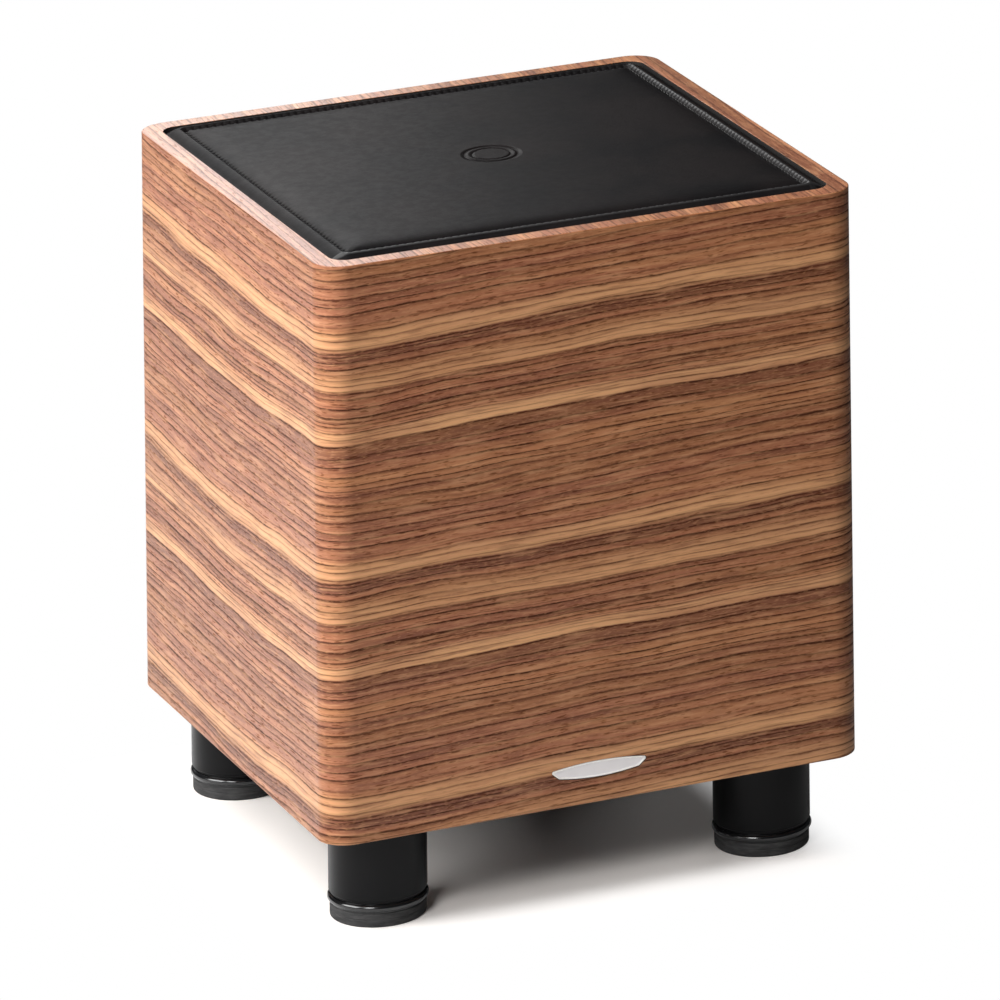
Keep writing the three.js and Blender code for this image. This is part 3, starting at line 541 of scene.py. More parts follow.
def speckled(name, ground, fleck, scale, amount, roughness, bump_mm):
    """Pressed or foamed stuff with flecks: fibreboard, wadding, foam, ferrite."""
    g = Graph(bpy.data.materials.new(name))
    point = g.object_point()
    flecks = g.noise(point, scale, 4.0, 0.65, 0.6)
    share = g.rescale(flecks, 0.45, 0.7, 0.0, amount)
    g.set(Base_Color=g.mix(share, srgb(ground), srgb(fleck)), Normal=g.bump(flecks, bump_mm, 0.7))
    g.set(Roughness=g.rescale(flecks, 0.3, 0.7, roughness - 0.08, roughness))
    return g.material


def woven(name, dark, light, scale):
    """A plain weave, from two crossed waves."""
    g = Graph(bpy.data.materials.new(name))
    x, y, _ = g.separated(g.scaled(g.object_point(), (scale, scale, scale)))
    cloth = g.times(g.math("SINE", x), g.math("SINE", y))
    share = g.rescale(cloth, -0.6, 0.6)
    g.set(Base_Color=g.mix(share, srgb(dark), srgb(light)), Normal=g.bump(share, 0.2, 0.8), Roughness=0.85)
    return g.material


def wound(name, dark, light, turns_per_metre):
    """Wire or tape wound in close turns."""
    g = Graph(bpy.data.materials.new(name))
    _, _, z = g.separated(g.object_point())
    turns = g.math("SINE", g.times(z, turns_per_metre * TAU))
    share = g.rescale(turns, -0.7, 0.9)
    g.set(Base_Color=g.mix(share, srgb(dark), srgb(light)), Normal=g.bump(share, 0.2, 0.8), Roughness=0.4)
    return g.material


def lamp_lens():
    """A tinted lens over a small lit lamp."""
    g = Graph(bpy.data.materials.new("lamp lens"))
    glow = g.noise(g.object_point(), 500.0, 2.0)
    g.set(Base_Color=g.mix(glow, srgb("1f9a48"), srgb("5fe08a")), Roughness=0.12)
    g.set(Emission_Color=srgb("4ce07c"), Emission_Strength=g.rescale(glow, 0.2, 0.8, 0.35, 0.6))
    return g.material


FINISHES = {
    "veneer": veneer(),
    "board": speckled("fibreboard", "b08d62", "8d6b45", 500.0, 0.7, 0.9, 0.1),
    "black_board": lacquer("black board paint", "151413", "1e1c1b", 0.55, 900.0, 0.05),
    "leather": leather(),
    "foam": speckled("foam", "d8d2c0", "b5ae98", 900.0, 0.8, 0.95, 0.3),
    "wadding": speckled("wadding", "e6e4de", "c8c5bc", 260.0, 0.6, 1.0, 0.8),
    "foot_black": lacquer("foot lacquer", "070708", "0b0b0c", 0.34, 2200.0, 0.003, shine=0.13),
    "foot_rubber": rubber("foot rubber", "242424", "424141"),
    "gasket_rubber": rubber("gasket foam", "161616", "232323", 0.88),
    "surround_rubber": rubber("surround rubber", "141415", "1f1f20", 0.5),
    "silver": metal("brushed nameplate", "fbf7f7", 0.36, (0.03, 1.0, 1.0), 0.06, metallic=0.05),
    "steel": metal("zinc plate", "a8a8a4", 0.36),
    "black_screw": lacquer("black oxide", "151515", "222222", 0.42, 1600.0, 0.02, metallic=0.6),
    "ferrite": speckled("ferrite", "35353a", "232327", 700.0, 0.6, 0.7, 0.06),
    "cast_basket": lacquer("basket coat", "17171a", "232327", 0.5, 1100.0, 0.09, metallic=0.2),
    "paper_cone": pulp("cone pulp"),
    "cloth": woven("spider cloth", "8f7a38", "c9ab58", 5200.0),
    "copper": wound("copper wire", "7a3f1c", "d08a50", 2600.0),
    "amp_plate": lacquer("powder coat", "19191a", "232324", 0.52, 1500.0, 0.12),
    "heatsink_black": metal("black anodise", "2a2a2c", 0.38, (1.0, 1.0, 0.05)),
    "plastic": lacquer("moulded plastic", "151516", "1e1e1f", 0.48, 1800.0, 0.05),
    "gloss_black": lacquer("polished plastic", "0e0e0f", "161617", 0.18, 500.0, 0.004, coat=0.4),
    "circuit_board": lacquer("solder mask", "16492b", "226a3e", 0.35, 300.0, 0.05),
    "gold": metal("gold plate", "dcb562", 0.25),
    "lamp": lamp_lens(),
    "tape": wound("winding tape", "a8861f", "e6c14a", 260.0),
    "cable": rubber("cable sheath", "161617", "232324", 0.55),
}
# Near-black for the walls of the pad's seat and the nameplate's pocket: painted shadow in these narrow
# gaps.
DARK_GAP = lacquer("shadow gap", "0d0b0a", "15110f", 0.8, 900.0, 0.03)
THREAD = twisted_thread()
# Near-white for the nameplate's border: partly its polish, partly a painted highlight.
BRIGHT_RIM = lacquer("polished rim", "fff8ee", "ffffff", 0.25, 700.0, 0.004)
WHITE_PRINT = lacquer("white print", "c9c9c6", "deded9", 0.6, 1500.0, 0.02)
RED_PLASTIC = lacquer("red plastic", "8e1613", "a81f1b", 0.4, 1500.0, 0.03)
PALE_PLASTIC = lacquer("white plastic", "cfcdc6", "e2e0da", 0.4, 1500.0, 0.03)

for entry in frame["record"]["subparts"]:
    node_mesh = frame["nodes"][entry["node"]].data
    node_mesh.materials.clear()
    node_mesh.materials.append(FINISHES[entry["material_slot"]])


# ---- Places and sizes that come from the frame


def middle_of(node):
    """The middle of a node's box."""
    low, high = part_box(node)
    return (low + high) / 2


def over(node, height=0):
    """The shift from the origin to a node's middle in plan, and to a height in millimetres."""
    middle = middle_of(node)
    return Matrix.Translation((middle.x, middle.y, height * MM))


wrap_low, wrap_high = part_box("cabinet_wrap")
HALF = wrap_high.x / MM  # half the cabinet's width, in millimetres
BOTTOM = wrap_low.z / MM
TOP = wrap_high.z / MM
CORNER = 16.0
WALL = 18.0
CAVITY = HALF - WALL
WRAP_STEPS = 18, 12  # points on each corner of the cabinet, and on each side
cover_low, cover_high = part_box("leather_cover")
PAD_HALF = cover_high.x / MM
PAD_BOTTOM = cover_low.z / MM
PAD_TOP = cover_high.z / MM
REBATE_HALF = PAD_HALF + 1.3
REBATE_FLOOR = PAD_BOTTOM - 0.3
amp_low, amp_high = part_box("amp_panel")
PLATE = (amp_high.y - wrap_high.y) / MM  # the amplifier plate's face, in the frame of the back

# Seen from behind: x to the right, y up, z out of the cabinet's back, from the middle of the plate.
BACK_FRAME = Matrix.Translation((0, wrap_high.y, middle_of("amp_panel").z)) @ Matrix(
    ((-1, 0, 0, 0), (0, 0, 1, 0), (0, 1, 0, 0), (0, 0, 0, 1)))
# Seen from the front: x to the right, y up, z out of the front, from the middle of the nameplate.
FRONT_FRAME = Matrix.Translation((0, wrap_low.y, middle_of("nameplate").z)) @ Matrix(
    ((1, 0, 0, 0), (0, 0, -1, 0), (0, 1, 0, 0), (0, 0, 0, 1)))


def set_in(piece, matrix):
    """Moves a new piece's mesh into a frame."""
    piece.data.transform(matrix)
    piece.data.update()
    return piece


def set_on_back(piece, node, height=0):
    """Moves a piece made at the origin to a node's place on the cabinet's back."""
    middle = BACK_FRAME.inverted() @ middle_of(node)
    return set_in(piece, BACK_FRAME @ Matrix.Translation((middle.x, middle.y, height * MM)))


# ---- Cabinet


def nameplate_outline(grow, steps=24):
    """A boat shape: bowed long edges, and slanting ends that make the upper edge the longer one."""
    low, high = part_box("nameplate")
    end_half, corner, slant = 2.3, 1.0, 51
    bow = (high.z - low.z) / 2 / MM - end_half
    upper_reach = (high.x - low.x) / 2 / MM - 1.3 - corner
    lower_reach = upper_reach - 2 * (end_half - corner) * math.tan(math.radians(slant))

    def long_edge(side, reach):
        across = np.linspace(1, -1, steps + 1)
        return [(side * reach * c, side * (end_half + bow * (1 - c * c) + grow)) for c in across]

    left = arc((-upper_reach, end_half - corner), corner + grow, 99, 180 + slant, 5)
    left += arc((-lower_reach, corner - end_half), corner + grow, 180 + slant, 261, 4)[1:]
    right = [(-x, y) for x, y in reversed(left)]
    return long_edge(1, upper_reach) + left + long_edge(-1, lower_reach) + right


def walls():
    """The four walls as one ring: eased edges, and the seat of the pad inside the upper one."""
    ease = 0.6

    def eased(degrees, height, upwards):
        """Half width, corner radius and height on a rounded edge that ends at a height."""
        angle = math.radians(degrees)
        inset = ease * (1 - math.cos(angle))
        return HALF - inset, CORNER - inset, height + upwards * ease * (1 - math.sin(angle))

    levels = [(CAVITY, 0.4, BOTTOM)]
    levels += [eased(degrees, BOTTOM, 1) for degrees in (90, 60, 30, 0)]
    levels += [eased(degrees, TOP, -1) for degrees in (0, 22.5, 45, 67.5, 90)]
    levels += [(REBATE_HALF + 0.2, 9.7, TOP), (REBATE_HALF + 0.05, 9.55, TOP - 0.05)]
    levels += [(REBATE_HALF, 9.5, TOP - 0.2), (REBATE_HALF, 9.5, REBATE_FLOOR)]
    levels.append((CAVITY, 0.4, REBATE_FLOOR))
    points = []
    for half, radius, height in levels:
        points += [(x, y, height) for x, y in rounded_outline(half, half, radius, *WRAP_STEPS)]
    faces = loop_faces(len(levels), len(points) // len(levels), closed=True)
    wrap = mesh_object("cabinet_shell", points, faces, FINISHES["veneer"], 40)
    wrap.data.materials.append(DARK_GAP)
    # The seat's walls below the rim take the near-black: painted shadow round the pad.
    for face in wrap.data.polygons:
        reach = max(abs(face.center.x), abs(face.center.y)) / MM
        if REBATE_FLOOR - 0.1 < face.center.z / MM < TOP - 0.15 and reach < REBATE_HALF + 0.1:
            face.material_index = 1
    return wrap


def lay_grain(wrap):
    """Lays the grain round the walls, and along Y over the rim, as on one leaf laid over the top."""
    corner_steps, side_steps = WRAP_STEPS
    outline = np.array(rounded_outline(HALF, HALF, CORNER, corner_steps, side_steps)) * MM
    per_loop = len(outline)
    steps = np.linalg.norm(np.roll(outline, -1, axis=0) - outline, axis=1)
    start = corner_steps + side_steps // 2  # the leaf's ends meet in the middle of the back
    front_left = 2 * (corner_steps + side_steps) + corner_steps // 2
    along = np.concatenate([[0.0], np.cumsum(np.roll(steps, -start))])
    along -= along[front_left - start]
    grain = wrap.data.uv_layers.new(name="Grain")
    for face in wrap.data.polygons:
        order = [(index % per_loop - start) % per_loop for index in face.vertices]
        wraps_over = max(order) - min(order) > 1
        flat = abs(face.normal.z) > 0.8
        for corner, vertex, position in zip(face.loop_indices, face.vertices, order):
            point = wrap.data.vertices[vertex].co
            if wraps_over and position == 0:
                position = per_loop
            # Seen from outside the ring runs anticlockwise, so the grain's u grows to the right.
            grain.data[corner].uv = (point.y, point.x) if flat else (along[position], point.z - TOP * MM)


def cabinet_wrap():
    """The veneered walls, cut for the amplifier plate, the opening behind it and the nameplate."""
    wrap = walls()
    lay_grain(wrap)
    half_x = (amp_high.x - amp_low.x) / 2 / MM + 0.3
    half_y = (amp_high.z - amp_low.z) / 2 / MM + 0.3
    levels = []
    for inset, height in ((0, -12), (0, -0.6), (-0.25, -0.15), (-0.7, 0.02), (-0.7, 2)):
        levels.append((rounded_outline(half_x - inset, half_y - inset, 6.3 - inset, 8, 4), height))
    recess = set_in(stacked("recess", levels, FINISHES["black_board"]), BACK_FRAME)
    outline = rounded_outline(half_x - 10.3, half_y - 10.3, 1, 2, 2)
    opening = set_in(stacked("opening", [(outline, -20), (outline, -11)], FINISHES["board"]), BACK_FRAME)
    # The pocket's cut walls take the near-black: painted shadow round the nameplate.
    outline = nameplate_outline(0.3)
    pocket = set_in(stacked("pocket", [(outline, -1.5), (outline, 1)], DARK_GAP), FRONT_FRAME)
    carve(wrap, [recess, opening, pocket])
    shade(wrap.data, 40)
    even_normals(wrap)
    place(wrap, "cabinet", "veneer", "cabinet_wrap")


def nameplate():
    """A plate: a raised border, polished and painted bright as a highlight, round a brushed field."""
    border, sunk = 0.8, 0.16
    insets = [(0.02, -1.2), (0.02, -0.12), (0.12, -0.02), (0.22, 0), (border, 0), (border + 0.1, -sunk)]
    levels = [(nameplate_outline(-inset), height) for inset, height in insets]
    plate = set_in(stacked("name_plate", levels, FINISHES["silver"], 25), FRONT_FRAME)
    plate.data.materials.append(BRIGHT_RIM)
    front = wrap_low.y / MM
    # The border's top faces take the near-white: polish with a painted highlight.
    for face in plate.data.polygons:
        if face.center.y / MM < front + 0.1:
            face.material_index = 1
    place(plate, "cabinet", "silver", "nameplate")


# ---- Leather pad

STITCHES_PER_SIDE = 60
POINTS_PER_STITCH = 6
SEAM_CORNER = 2.0
STITCH_PITCH = 2 * (SEAM - SEAM_CORNER) / STITCHES_PER_SIDE
CROWN = PAD_TOP + 1.0
SEAM_FLOOR = PAD_TOP - 1.6
BORDER_TOP = PAD_TOP + 0.3  # the crest beside the seam
BORDER_WIDTH = 8.4  # from the seam to where the edge turns down
BORDER_CREST = 2.5  # from the seam to the crest
BORDER_FALL = 2.9  # how far the border has dropped at its edge
PAD_EDGE = REBATE_HALF - 0.45


def pad_outline(half):
    """One ring of the pad: tight corners at the seam, rounder ones outwards, a circle near the middle."""
    radius = min(SEAM_CORNER + max(half - SEAM, 0) * 0.64 + max(SEAM - half, 0) * 0.25, half * 0.98)
    square = rounded_outline(half, half, radius, 8, STITCHES_PER_SIDE * POINTS_PER_STITCH)
    squareness = min(max((half - 22) / 70, 0), 1)
    if squareness == 1:
        return square
    made = []
    for x, y in square:
        pull = squareness + (1 - squareness) * (half / math.hypot(x, y))
        made.append((x * pull, y * pull))
    return made


def pad_height(half):
    """Height of the pad over the floor, by distance from its middle."""
    if half <= SEAM:
        inward = SEAM - half
        roll = 1 - math.exp(-inward / 4.0)
        return SEAM_FLOOR + (CROWN - SEAM_FLOOR) * roll - 0.25 * (half / SEAM) ** 4
    outward = half - SEAM
    if outward < BORDER_CREST:
        return BORDER_TOP - (BORDER_TOP - SEAM_FLOOR) * (1 - outward / BORDER_CREST) ** 2
    share = (outward - BORDER_CREST) / (BORDER_WIDTH - BORDER_CREST)
    return BORDER_TOP - BORDER_FALL * share ** 1.35


def pressed_ring(distance):
    """Depth of the two plain rings that are pressed into the middle of the pad."""
    depth = 0
    for middle, half_width in ((14.4, 0.75), (10.4, 0.35)):
        away = abs(distance - middle)
        depth = max(depth, min(max((half_width + 0.3 - away) / 0.3, 0), 1))
    return depth * 0.4


def leather_cover():
    """A crowned field and a border band that meet in a stitched seam, turned down at the edge."""
    halves = [1.5, 5, 9, 9.7, 10.0, 10.25, 10.55, 10.8, 11.2, 12.6, 13.3, 13.6, 13.9, 14.4, 14.9, 15.2]
    halves += [15.5, 17, 22]
    halves += list(np.linspace(28, 112, 22)) + list(np.linspace(114, 126, 9))
    halves += [127, 127.6, 128.0, 128.3, 128.55, SEAM, 129.05, 129.35, 129.7, 130.1, 130.5, 130.9, 131.4]
    halves += [132, 132.8, 133.7, 134.6, 135.4, 136.3, SEAM + BORDER_WIDTH]
    rings = [(half, pad_height(half)) for half in halves]
    edge = SEAM + BORDER_WIDTH
    roll = PAD_EDGE - edge
    rings += arc((edge, pad_height(edge) - roll), roll, 55, 0, 6)
    rings += [(PAD_EDGE, PAD_BOTTOM + 2.4), (PAD_EDGE - 0.15, PAD_BOTTOM + 0.3)]
    rings.append((PAD_EDGE - 1.2, PAD_BOTTOM))
    points = []
    for half, height in rings:
        on_top = height > PAD_TOP - 3.2
        for x, y in pad_outline(half):
            z = height - pressed_ring(math.hypot(x, y))
            if on_top:
                z += pad_relief(x, y, half)
            points.append((x, y, z))
    per_loop = len(points) // len(rings)
    faces = loop_faces(len(rings), per_loop, closed=False)
    for height, first in ((pad_height(0), 0), (PAD_BOTTOM, (len(rings) - 1) * per_loop)):
        centre = len(points)
        points.append((0, 0, height))
        faces += [(centre, first + j, first + (j + 1) % per_loop) for j in range(per_loop)]
    cover = mesh_object("leather_pad", points, faces, FINISHES["leather"], 60)
    place(cover, "cabinet", "leather", "leather_cover")


def pad_foam():
    """The foam sheet under the leather, with its upper edge worn round."""
    low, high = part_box("pad_foam")
    half = high.x / MM - 1.5
    sheet = rounded_slab("foam_sheet", half, half, 7, low.z / MM, high.z / MM - 0.8, 3.5, FINISHES["foam"])
    place(sheet, "cabinet", "foam", "pad_foam")


def seam_phase(x, y):
    """1 at a needle hole and -1 under the middle of a stitch, for a point near the seam."""
    run = x if abs(y) > abs(x) else y
    return math.cos(TAU * (run + SEAM - SEAM_CORNER) / STITCH_PITCH)


def pad_relief(x, y, half):
    """Unevenness of the leather: slow waves, pulls at the needle holes and a mitre at each corner."""
    slow = noise.noise(Vector((x / 45, y / 45, 2.0))) * 0.05
    wrinkle = noise.noise(Vector((x / 9, y / 9, 7.0))) * 0.02
    away = half - SEAM
    hole = max(seam_phase(x, y), 0) ** 2
    if away < 0:
        pull = -0.8 * math.exp(-(away / 1.1) ** 2) * hole
    else:
        pull = -0.7 * math.exp(-((away - 0.8) / 1.3) ** 2) * hole
    mitre = 0
    if away > 0.2:
        mitre = -0.2 * math.exp(-((abs(x) - abs(y)) / 0.8) ** 2)
    return slow + wrinkle + pull + mitre


def stitches():
    """Lockstitches along the seam, each a short bowed thread between two needle holes."""
    length, thickness = STITCH_PITCH * 0.66, 0.42
    rings, around = 7, 8
    body = loop_faces(rings + 1, around, closed=False)
    body += [tuple(range(around)), tuple(range(rings * around, (rings + 1) * around))]
    points, faces = [], []
    for side in range(4):
        turn = Matrix.Rotation(math.radians(90 * side), 3, "Z")
        for index in range(STITCHES_PER_SIDE):
            middle = SEAM_CORNER - SEAM + STITCH_PITCH * (index + 0.5)
            faces += [tuple(len(points) + i for i in face) for face in body]
            for ring in range(rings + 1):
                share = ring / rings
                bow = math.sin(math.pi * share)
                radius = thickness * (0.35 + 0.65 * min(1, 2.2 * bow))
                x = middle + (share - 0.5) * length
                y, z = 0.14 * (share - 0.5) - SEAM, SEAM_FLOOR - 0.35 + 0.5 * bow
                points += [turn @ Vector((x, y + dy, z + dz)) for dy, dz in circle(radius, around)]
    thread = mesh_object("seam_stitches", points, faces, THREAD, 50)
    place(thread, "cabinet", "leather")


# ---- Feet


def foot(corner):
    """A lacquered column over a groove and a polished bead, on a rubber pad."""
    column_node, pad_node = "foot_column_" + corner, "foot_pad_" + corner
    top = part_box(column_node)[1].z / MM
    pad_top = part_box(pad_node)[1].z / MM
    radius, groove = 25.8, 24.9
    bead, bead_z, bead_radius = 26.55, 9.9, 1.9
    bead_top = 12.1
    column = [(0, top), (radius - 0.5, top), (radius, top - 0.5), (radius, 14.0), (radius - 0.12, 13.5)]
    column += [(radius - 0.5, 13.2), (groove, 13.05), (groove, 12.25), (25.3, bead_top)]
    column += arc((bead - bead_radius, bead_z), bead_radius, 78, -78, 9)
    column += [(groove, pad_top + 0.3), (0, pad_top + 0.3)]
    shaft = turned("foot_shaft_" + corner, column, FINISHES["foot_black"], 112, 30)
    shaft.data.materials.append(FINISHES["gloss_black"])
    for face in shaft.data.polygons:
        if face.center.z / MM < bead_top:
            face.material_index = 1
    place(set_in(shaft, over(column_node)), "cabinet", "foot_black", column_node)
    pad = [(0, pad_top), (24.7, pad_top), (25.1, pad_top - 0.35), (25.2, pad_top - 0.9), (25.2, 4.3)]
    pad += [(25.0, 4.1), (25.0, 3.8), (25.2, 3.6), (25.2, 1.1), (25.05, 0.5), (24.6, 0.1), (23.8, 0)]
    pad.append((0, 0))
    sole = turned("foot_sole_" + corner, pad, FINISHES["foot_rubber"], 112, 30)
    place(set_in(sole, over(column_node)), "cabinet", "foot_rubber", pad_node)


# ---- Driver

# The driver is drawn from the cabinet's underside, with which its flange is flush.
DRIVER_FRAME = Matrix.Translation((0, 0, BOTTOM * MM))


def driver_cone():
    """The cone, gently flared and pressed with stiffening rings, and its dust cap."""
    edge, neck, edge_z, neck_z = 79.0, 26.5, 3.0, 41.0

    def face(radius):
        share = (edge - radius) / (edge - neck)
        flare = 1.6 * math.sin(math.pi * share)
        ring = 0.35 * sum(math.exp(-((radius - middle) / 0.9) ** 2) for middle in (44, 52, 60, 68))
        return edge_z + (neck_z - edge_z) * share + flare - ring

    radii = np.linspace(neck, edge, 72)
    profile = [(r, face(r)) for r in radii] + [(r, face(r) + 1.1) for r in reversed(radii)]
    cone = turned("driver_cone", profile, FINISHES["paper_cone"], 128, 40)
    place(set_in(cone, DRIVER_FRAME), "cone_assembly", "paper_cone", "cone")

    cap_radius, cap_rise = 32.0, 12.5
    seat = face(cap_radius) - 0.5
    outer = [(r, seat - cap_rise * (1 - (r / cap_radius) ** 2)) for r in np.linspace(0, cap_radius, 20)]
    lip = [(cap_radius + out, face(cap_radius + out) - gap) for out, gap in ((1.6, 0.25), (1.5, 0.05))]
    inner = [(r, z + 0.8) for r, z in reversed(outer)]
    cap = turned("driver_cap", outer + lip + inner, FINISHES["paper_cone"], 96, 40)
    place(set_in(cap, DRIVER_FRAME), "cone_assembly", "paper_cone", "dust_cap")


def driver_surround():
    """A half roll of rubber between the basket and the cone, which bends on the real driver but is drawn
    here at rest.
    """
    middle = 85.7, 0.9
    outer = arc(middle, 6.6, 0, -180, 26)
    inner = arc(middle, 5.7, -180, 0, 26)
    profile = [(98, 0.5), (97.8, 0.35), (93.2, 0.35)] + outer + [(77.2, 1.2), (77, 1.35), (77.2, 1.5)]
    profile += inner + [(93, 1.35), (98, 1.35)]
    roll = turned("driver_surround", profile, FINISHES["surround_rubber"], 128, 40)
    set_in(roll, DRIVER_FRAME)
    bend_with_cone(roll, "surround", 91.5, 80.0)


def driver_spider():
    """A corrugated ring of cloth that centres the voice coil."""
    low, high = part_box("spider")
    inner, outer = 26.8, high.x / MM
    middle = (low.z + high.z) / 2 / MM
    first, waves, pitch, swing, thickness = 31.5, 5, 4.8, 0.7, 0.5

    def height(radius):
        share = (radius - first) / (waves * pitch)
        return middle + (swing * math.sin(TAU * waves * share) if 0 < share < 1 else 0)

    radii = np.linspace(inner, outer, 120)
    profile = [(r, height(r) - thickness / 2) for r in radii]
    profile += [(r, height(r) + thickness / 2) for r in reversed(radii)]
    ring = turned("driver_spider", profile, FINISHES["cloth"], 112, 60)
    bend_with_cone(ring, "spider", 55.0, 29.0)


def bend_with_cone(ring, node, fixed, moving):
    """Bakes the ring's place into its mesh and hides the node; the bending share per point is computed but
    unused.
    """
    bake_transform(ring)
    for vertex in ring.data.vertices:
        share = (fixed - math.hypot(vertex.co.x, vertex.co.y) / MM) / (fixed - moving)
        share = min(max(share, 0), 1)
    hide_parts(node)


def cap_screw(name, head, height, socket):
    """A screw head with a rounded edge and a six-sided socket, standing on z = 0."""
    segments, sixth = 48, TAU / 6
    profile = [(head * 0.98, 0), (head, 0.25), (head, height * 0.55)]
    profile += arc((head - height * 0.45, height * 0.55), height * 0.45, 0, 90, 5)[1:]
    profile += [(socket * 1.18, height), (socket, height - 0.25)]
    levels = [(circle(radius, segments), z) for radius, z in profile]
    flats = 0.97 * socket * math.cos(sixth / 2)
    six_sided = polar(lambda a: flats / math.cos(a % sixth - sixth / 2), segments)
    levels += [(six_sided, height - 0.3), (six_sided, height * 0.25)]
    return stacked(name, levels, FINISHES["black_screw"], 35)


def driver_screws():
    """The four screws of the driver's flange, heads down."""
    for index in range(1, 5):
        node = "driver_screw_%d" % index
        screw = cap_screw("driver_fixing_%d" % index, 3.8, 2.3, 1.75)
        flip = Matrix.Rotation(math.pi, 4, "X")
        place(set_in(screw, over(node, BOTTOM) @ flip), "cabinet", "black_screw", node)


# ---- Amplifier


def knob(node, body):
    """A fluted control knob with a white pointer let into it."""
    top = (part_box(node)[1].y - wrap_high.y) / MM
    seat = PLATE + 0.3
    # Radius, height and how deep the 24 flutes are.
    profile = [(10.5, seat, 0), (10.5, seat + 0.8, 0), (10.1, seat + 1.2, 0), (9.4, seat + 1.5, 0.4)]
    profile += [(9.1, seat + 2.4, 1), (8.8, top - 0.9, 1), (8.5, top - 0.35, 0.5), (8.0, top, 0)]
    profile += [(7.2, top - 0.02, 0), (6.9, top - 0.18, 0), (3.0, top - 0.22, 0)]
    levels = []
    for radius, z, depth in profile:
        fluted = polar(lambda a: radius - 0.28 * depth * (0.5 + 0.5 * math.cos(24 * a)) ** 2, 144)
        levels.append((fluted, z))
    grip = stacked(node + "_grip", levels, FINISHES["plastic"], 40)
    mark = rounded_slab(node + "_mark", 0.45, 3.1, 0.4, top - 0.4, top - 0.02, 0.1, WHITE_PRINT, 3)
    set_in(mark, Matrix.Translation((0, 4.9 * MM, 0)))
    whole = joined(node + "_grip", [grip, mark])
    place(set_on_back(whole, node), body, "plastic", node)


def dial_marks(node):
    """A printed ring of ticks round a knob, from one end of its turn to the other."""
    points, faces = [], []
    for index in range(11):
        long_tick = index in (0, 5, 10)
        inner, outer, half = 11.8, 14.4 if long_tick else 13.5, 0.24 if long_tick else 0.16
        turn = Matrix.Rotation(math.radians(230 - 28 * index), 3, "Z")
        faces += [tuple(len(points) + i for i in face) for face in BOX_FACES]
        tick = box_points((inner, -half, PLATE), (outer, half, PLATE + 0.06))
        points += [turn @ Vector(p) for p in tick]
    ticks = mesh_object(node + "_ticks", points, faces, WHITE_PRINT)
    place(set_on_back(ticks, node), "cabinet", "amp_plate")


def line_jack(node, collar_material, core_material):
    """A gold-plated line socket with a coloured collar and an insulator."""
    seat, top = PLATE + 0.3, -0.5
    collar = [(4.3, seat), (6.6, seat), (6.6, seat + 0.6), (6.1, seat + 1.1), (4.3, seat + 1.1)]
    barrel = [(2.7, seat + 0.4), (4.15, seat + 0.4), (4.15, top - 0.5), (3.9, top), (3.3, top)]
    barrel.append((3.2, top - 0.3))
    core = [(0, seat + 0.4), (3.2, seat + 0.4), (3.2, top - 0.5), (1.7, top - 0.5), (1.6, seat + 1.5)]
    core.append((0, seat + 1.5))
    parts = [turned(node + "_collar", collar, collar_material, 64)]
    parts.append(turned(node + "_barrel", barrel, FINISHES["gold"], 64))
    parts.append(turned(node + "_core", core, core_material, 48))
    socket = joined(node + "_socket", parts)
    place(set_on_back(socket, node), "cabinet", "gold", node)


def mode_toggle():
    """A six-sided nut, a threaded bush and a bat-shaped lever."""
    seat = PLATE + 0.3
    nut_levels = [(circle(5.9, 6), seat), (circle(5.9, 6), seat + 1.3), (circle(5.3, 6), seat + 1.6)]
    nut = stacked("toggle_nut", nut_levels, FINISHES["steel"])
    turns, pitch = 5, 0.32
    thread = [(3.0, seat)]
    for turn in range(turns):
        base = seat + 1.6 + turn * pitch
        thread += [(4.6, base), (4.25, base + pitch / 2)]
    thread += [(4.4, seat + 3.3), (3.1, seat + 3.3)]
    bush = turned("toggle_thread", thread, FINISHES["steel"], 64)
    whole = joined("toggle_collar", [nut, bush])
    place(set_on_back(whole, "toggle_bush"), "cabinet", "steel", "toggle_bush")

    bottom, top = ((corner.y - wrap_high.y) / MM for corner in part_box("mode_toggle"))
    bat = [(0, bottom), (1.35, bottom), (1.15, bottom + 6), (1.5, top - 3.2), (1.85, top - 1.6)]
    bat += [(1.75, top - 0.7), (1.2, top - 0.2), (0, top)]
    lever = turned("toggle_bat", bat, FINISHES["steel"], 48, 50)
    place(set_on_back(lever, "toggle_bush"), "mode_switch", "steel", "mode_toggle")


def status_lamp():
    """A domed lens in a black bezel."""
    dome = [(0, PLATE - 2), (2.5, PLATE - 2), (2.5, PLATE + 0.5)] + arc((0, PLATE + 0.5), 2.3, 15, 90, 8)
    lens = turned("lamp_dome", dome, FINISHES["lamp"], 48, 50)
    rim = [(2.6, PLATE), (3.7, PLATE), (3.6, PLATE + 0.5), (3.2, PLATE + 0.8), (2.6, PLATE + 0.6)]
    bezel = turned("lamp_bezel", rim, FINISHES["plastic"], 48)
    whole = joined("lamp_dome", [lens, bezel])
    place(set_on_back(whole, "status_lamp"), "cabinet", "lamp", "status_lamp")


def amp_screws():
    """The four screws of the amplifier plate."""
    for index in range(1, 5):
        node = "amp_screw_%d" % index
        screw = cap_screw("amp_fixing_%d" % index, 3.6, 2.0, 1.6)
        place(set_on_back(screw, node, PLATE + 0.25), "cabinet", "black_screw", node)


def ease_edges(node, width_mm):
    """Rounds the edges of a CAD node that keeps its shape."""
    piece = frame["nodes"][node]
    weld = piece.modifiers.new("weld", "WELD")
    weld.merge_threshold = 0.002 * MM
    bevel = piece.modifiers.new("eased edges", "BEVEL")
    bevel.width = width_mm * MM
    bevel.segments = 2
    bevel.limit_method = "ANGLE"
    bevel.angle_limit = math.radians(38)
    even_normals(piece)


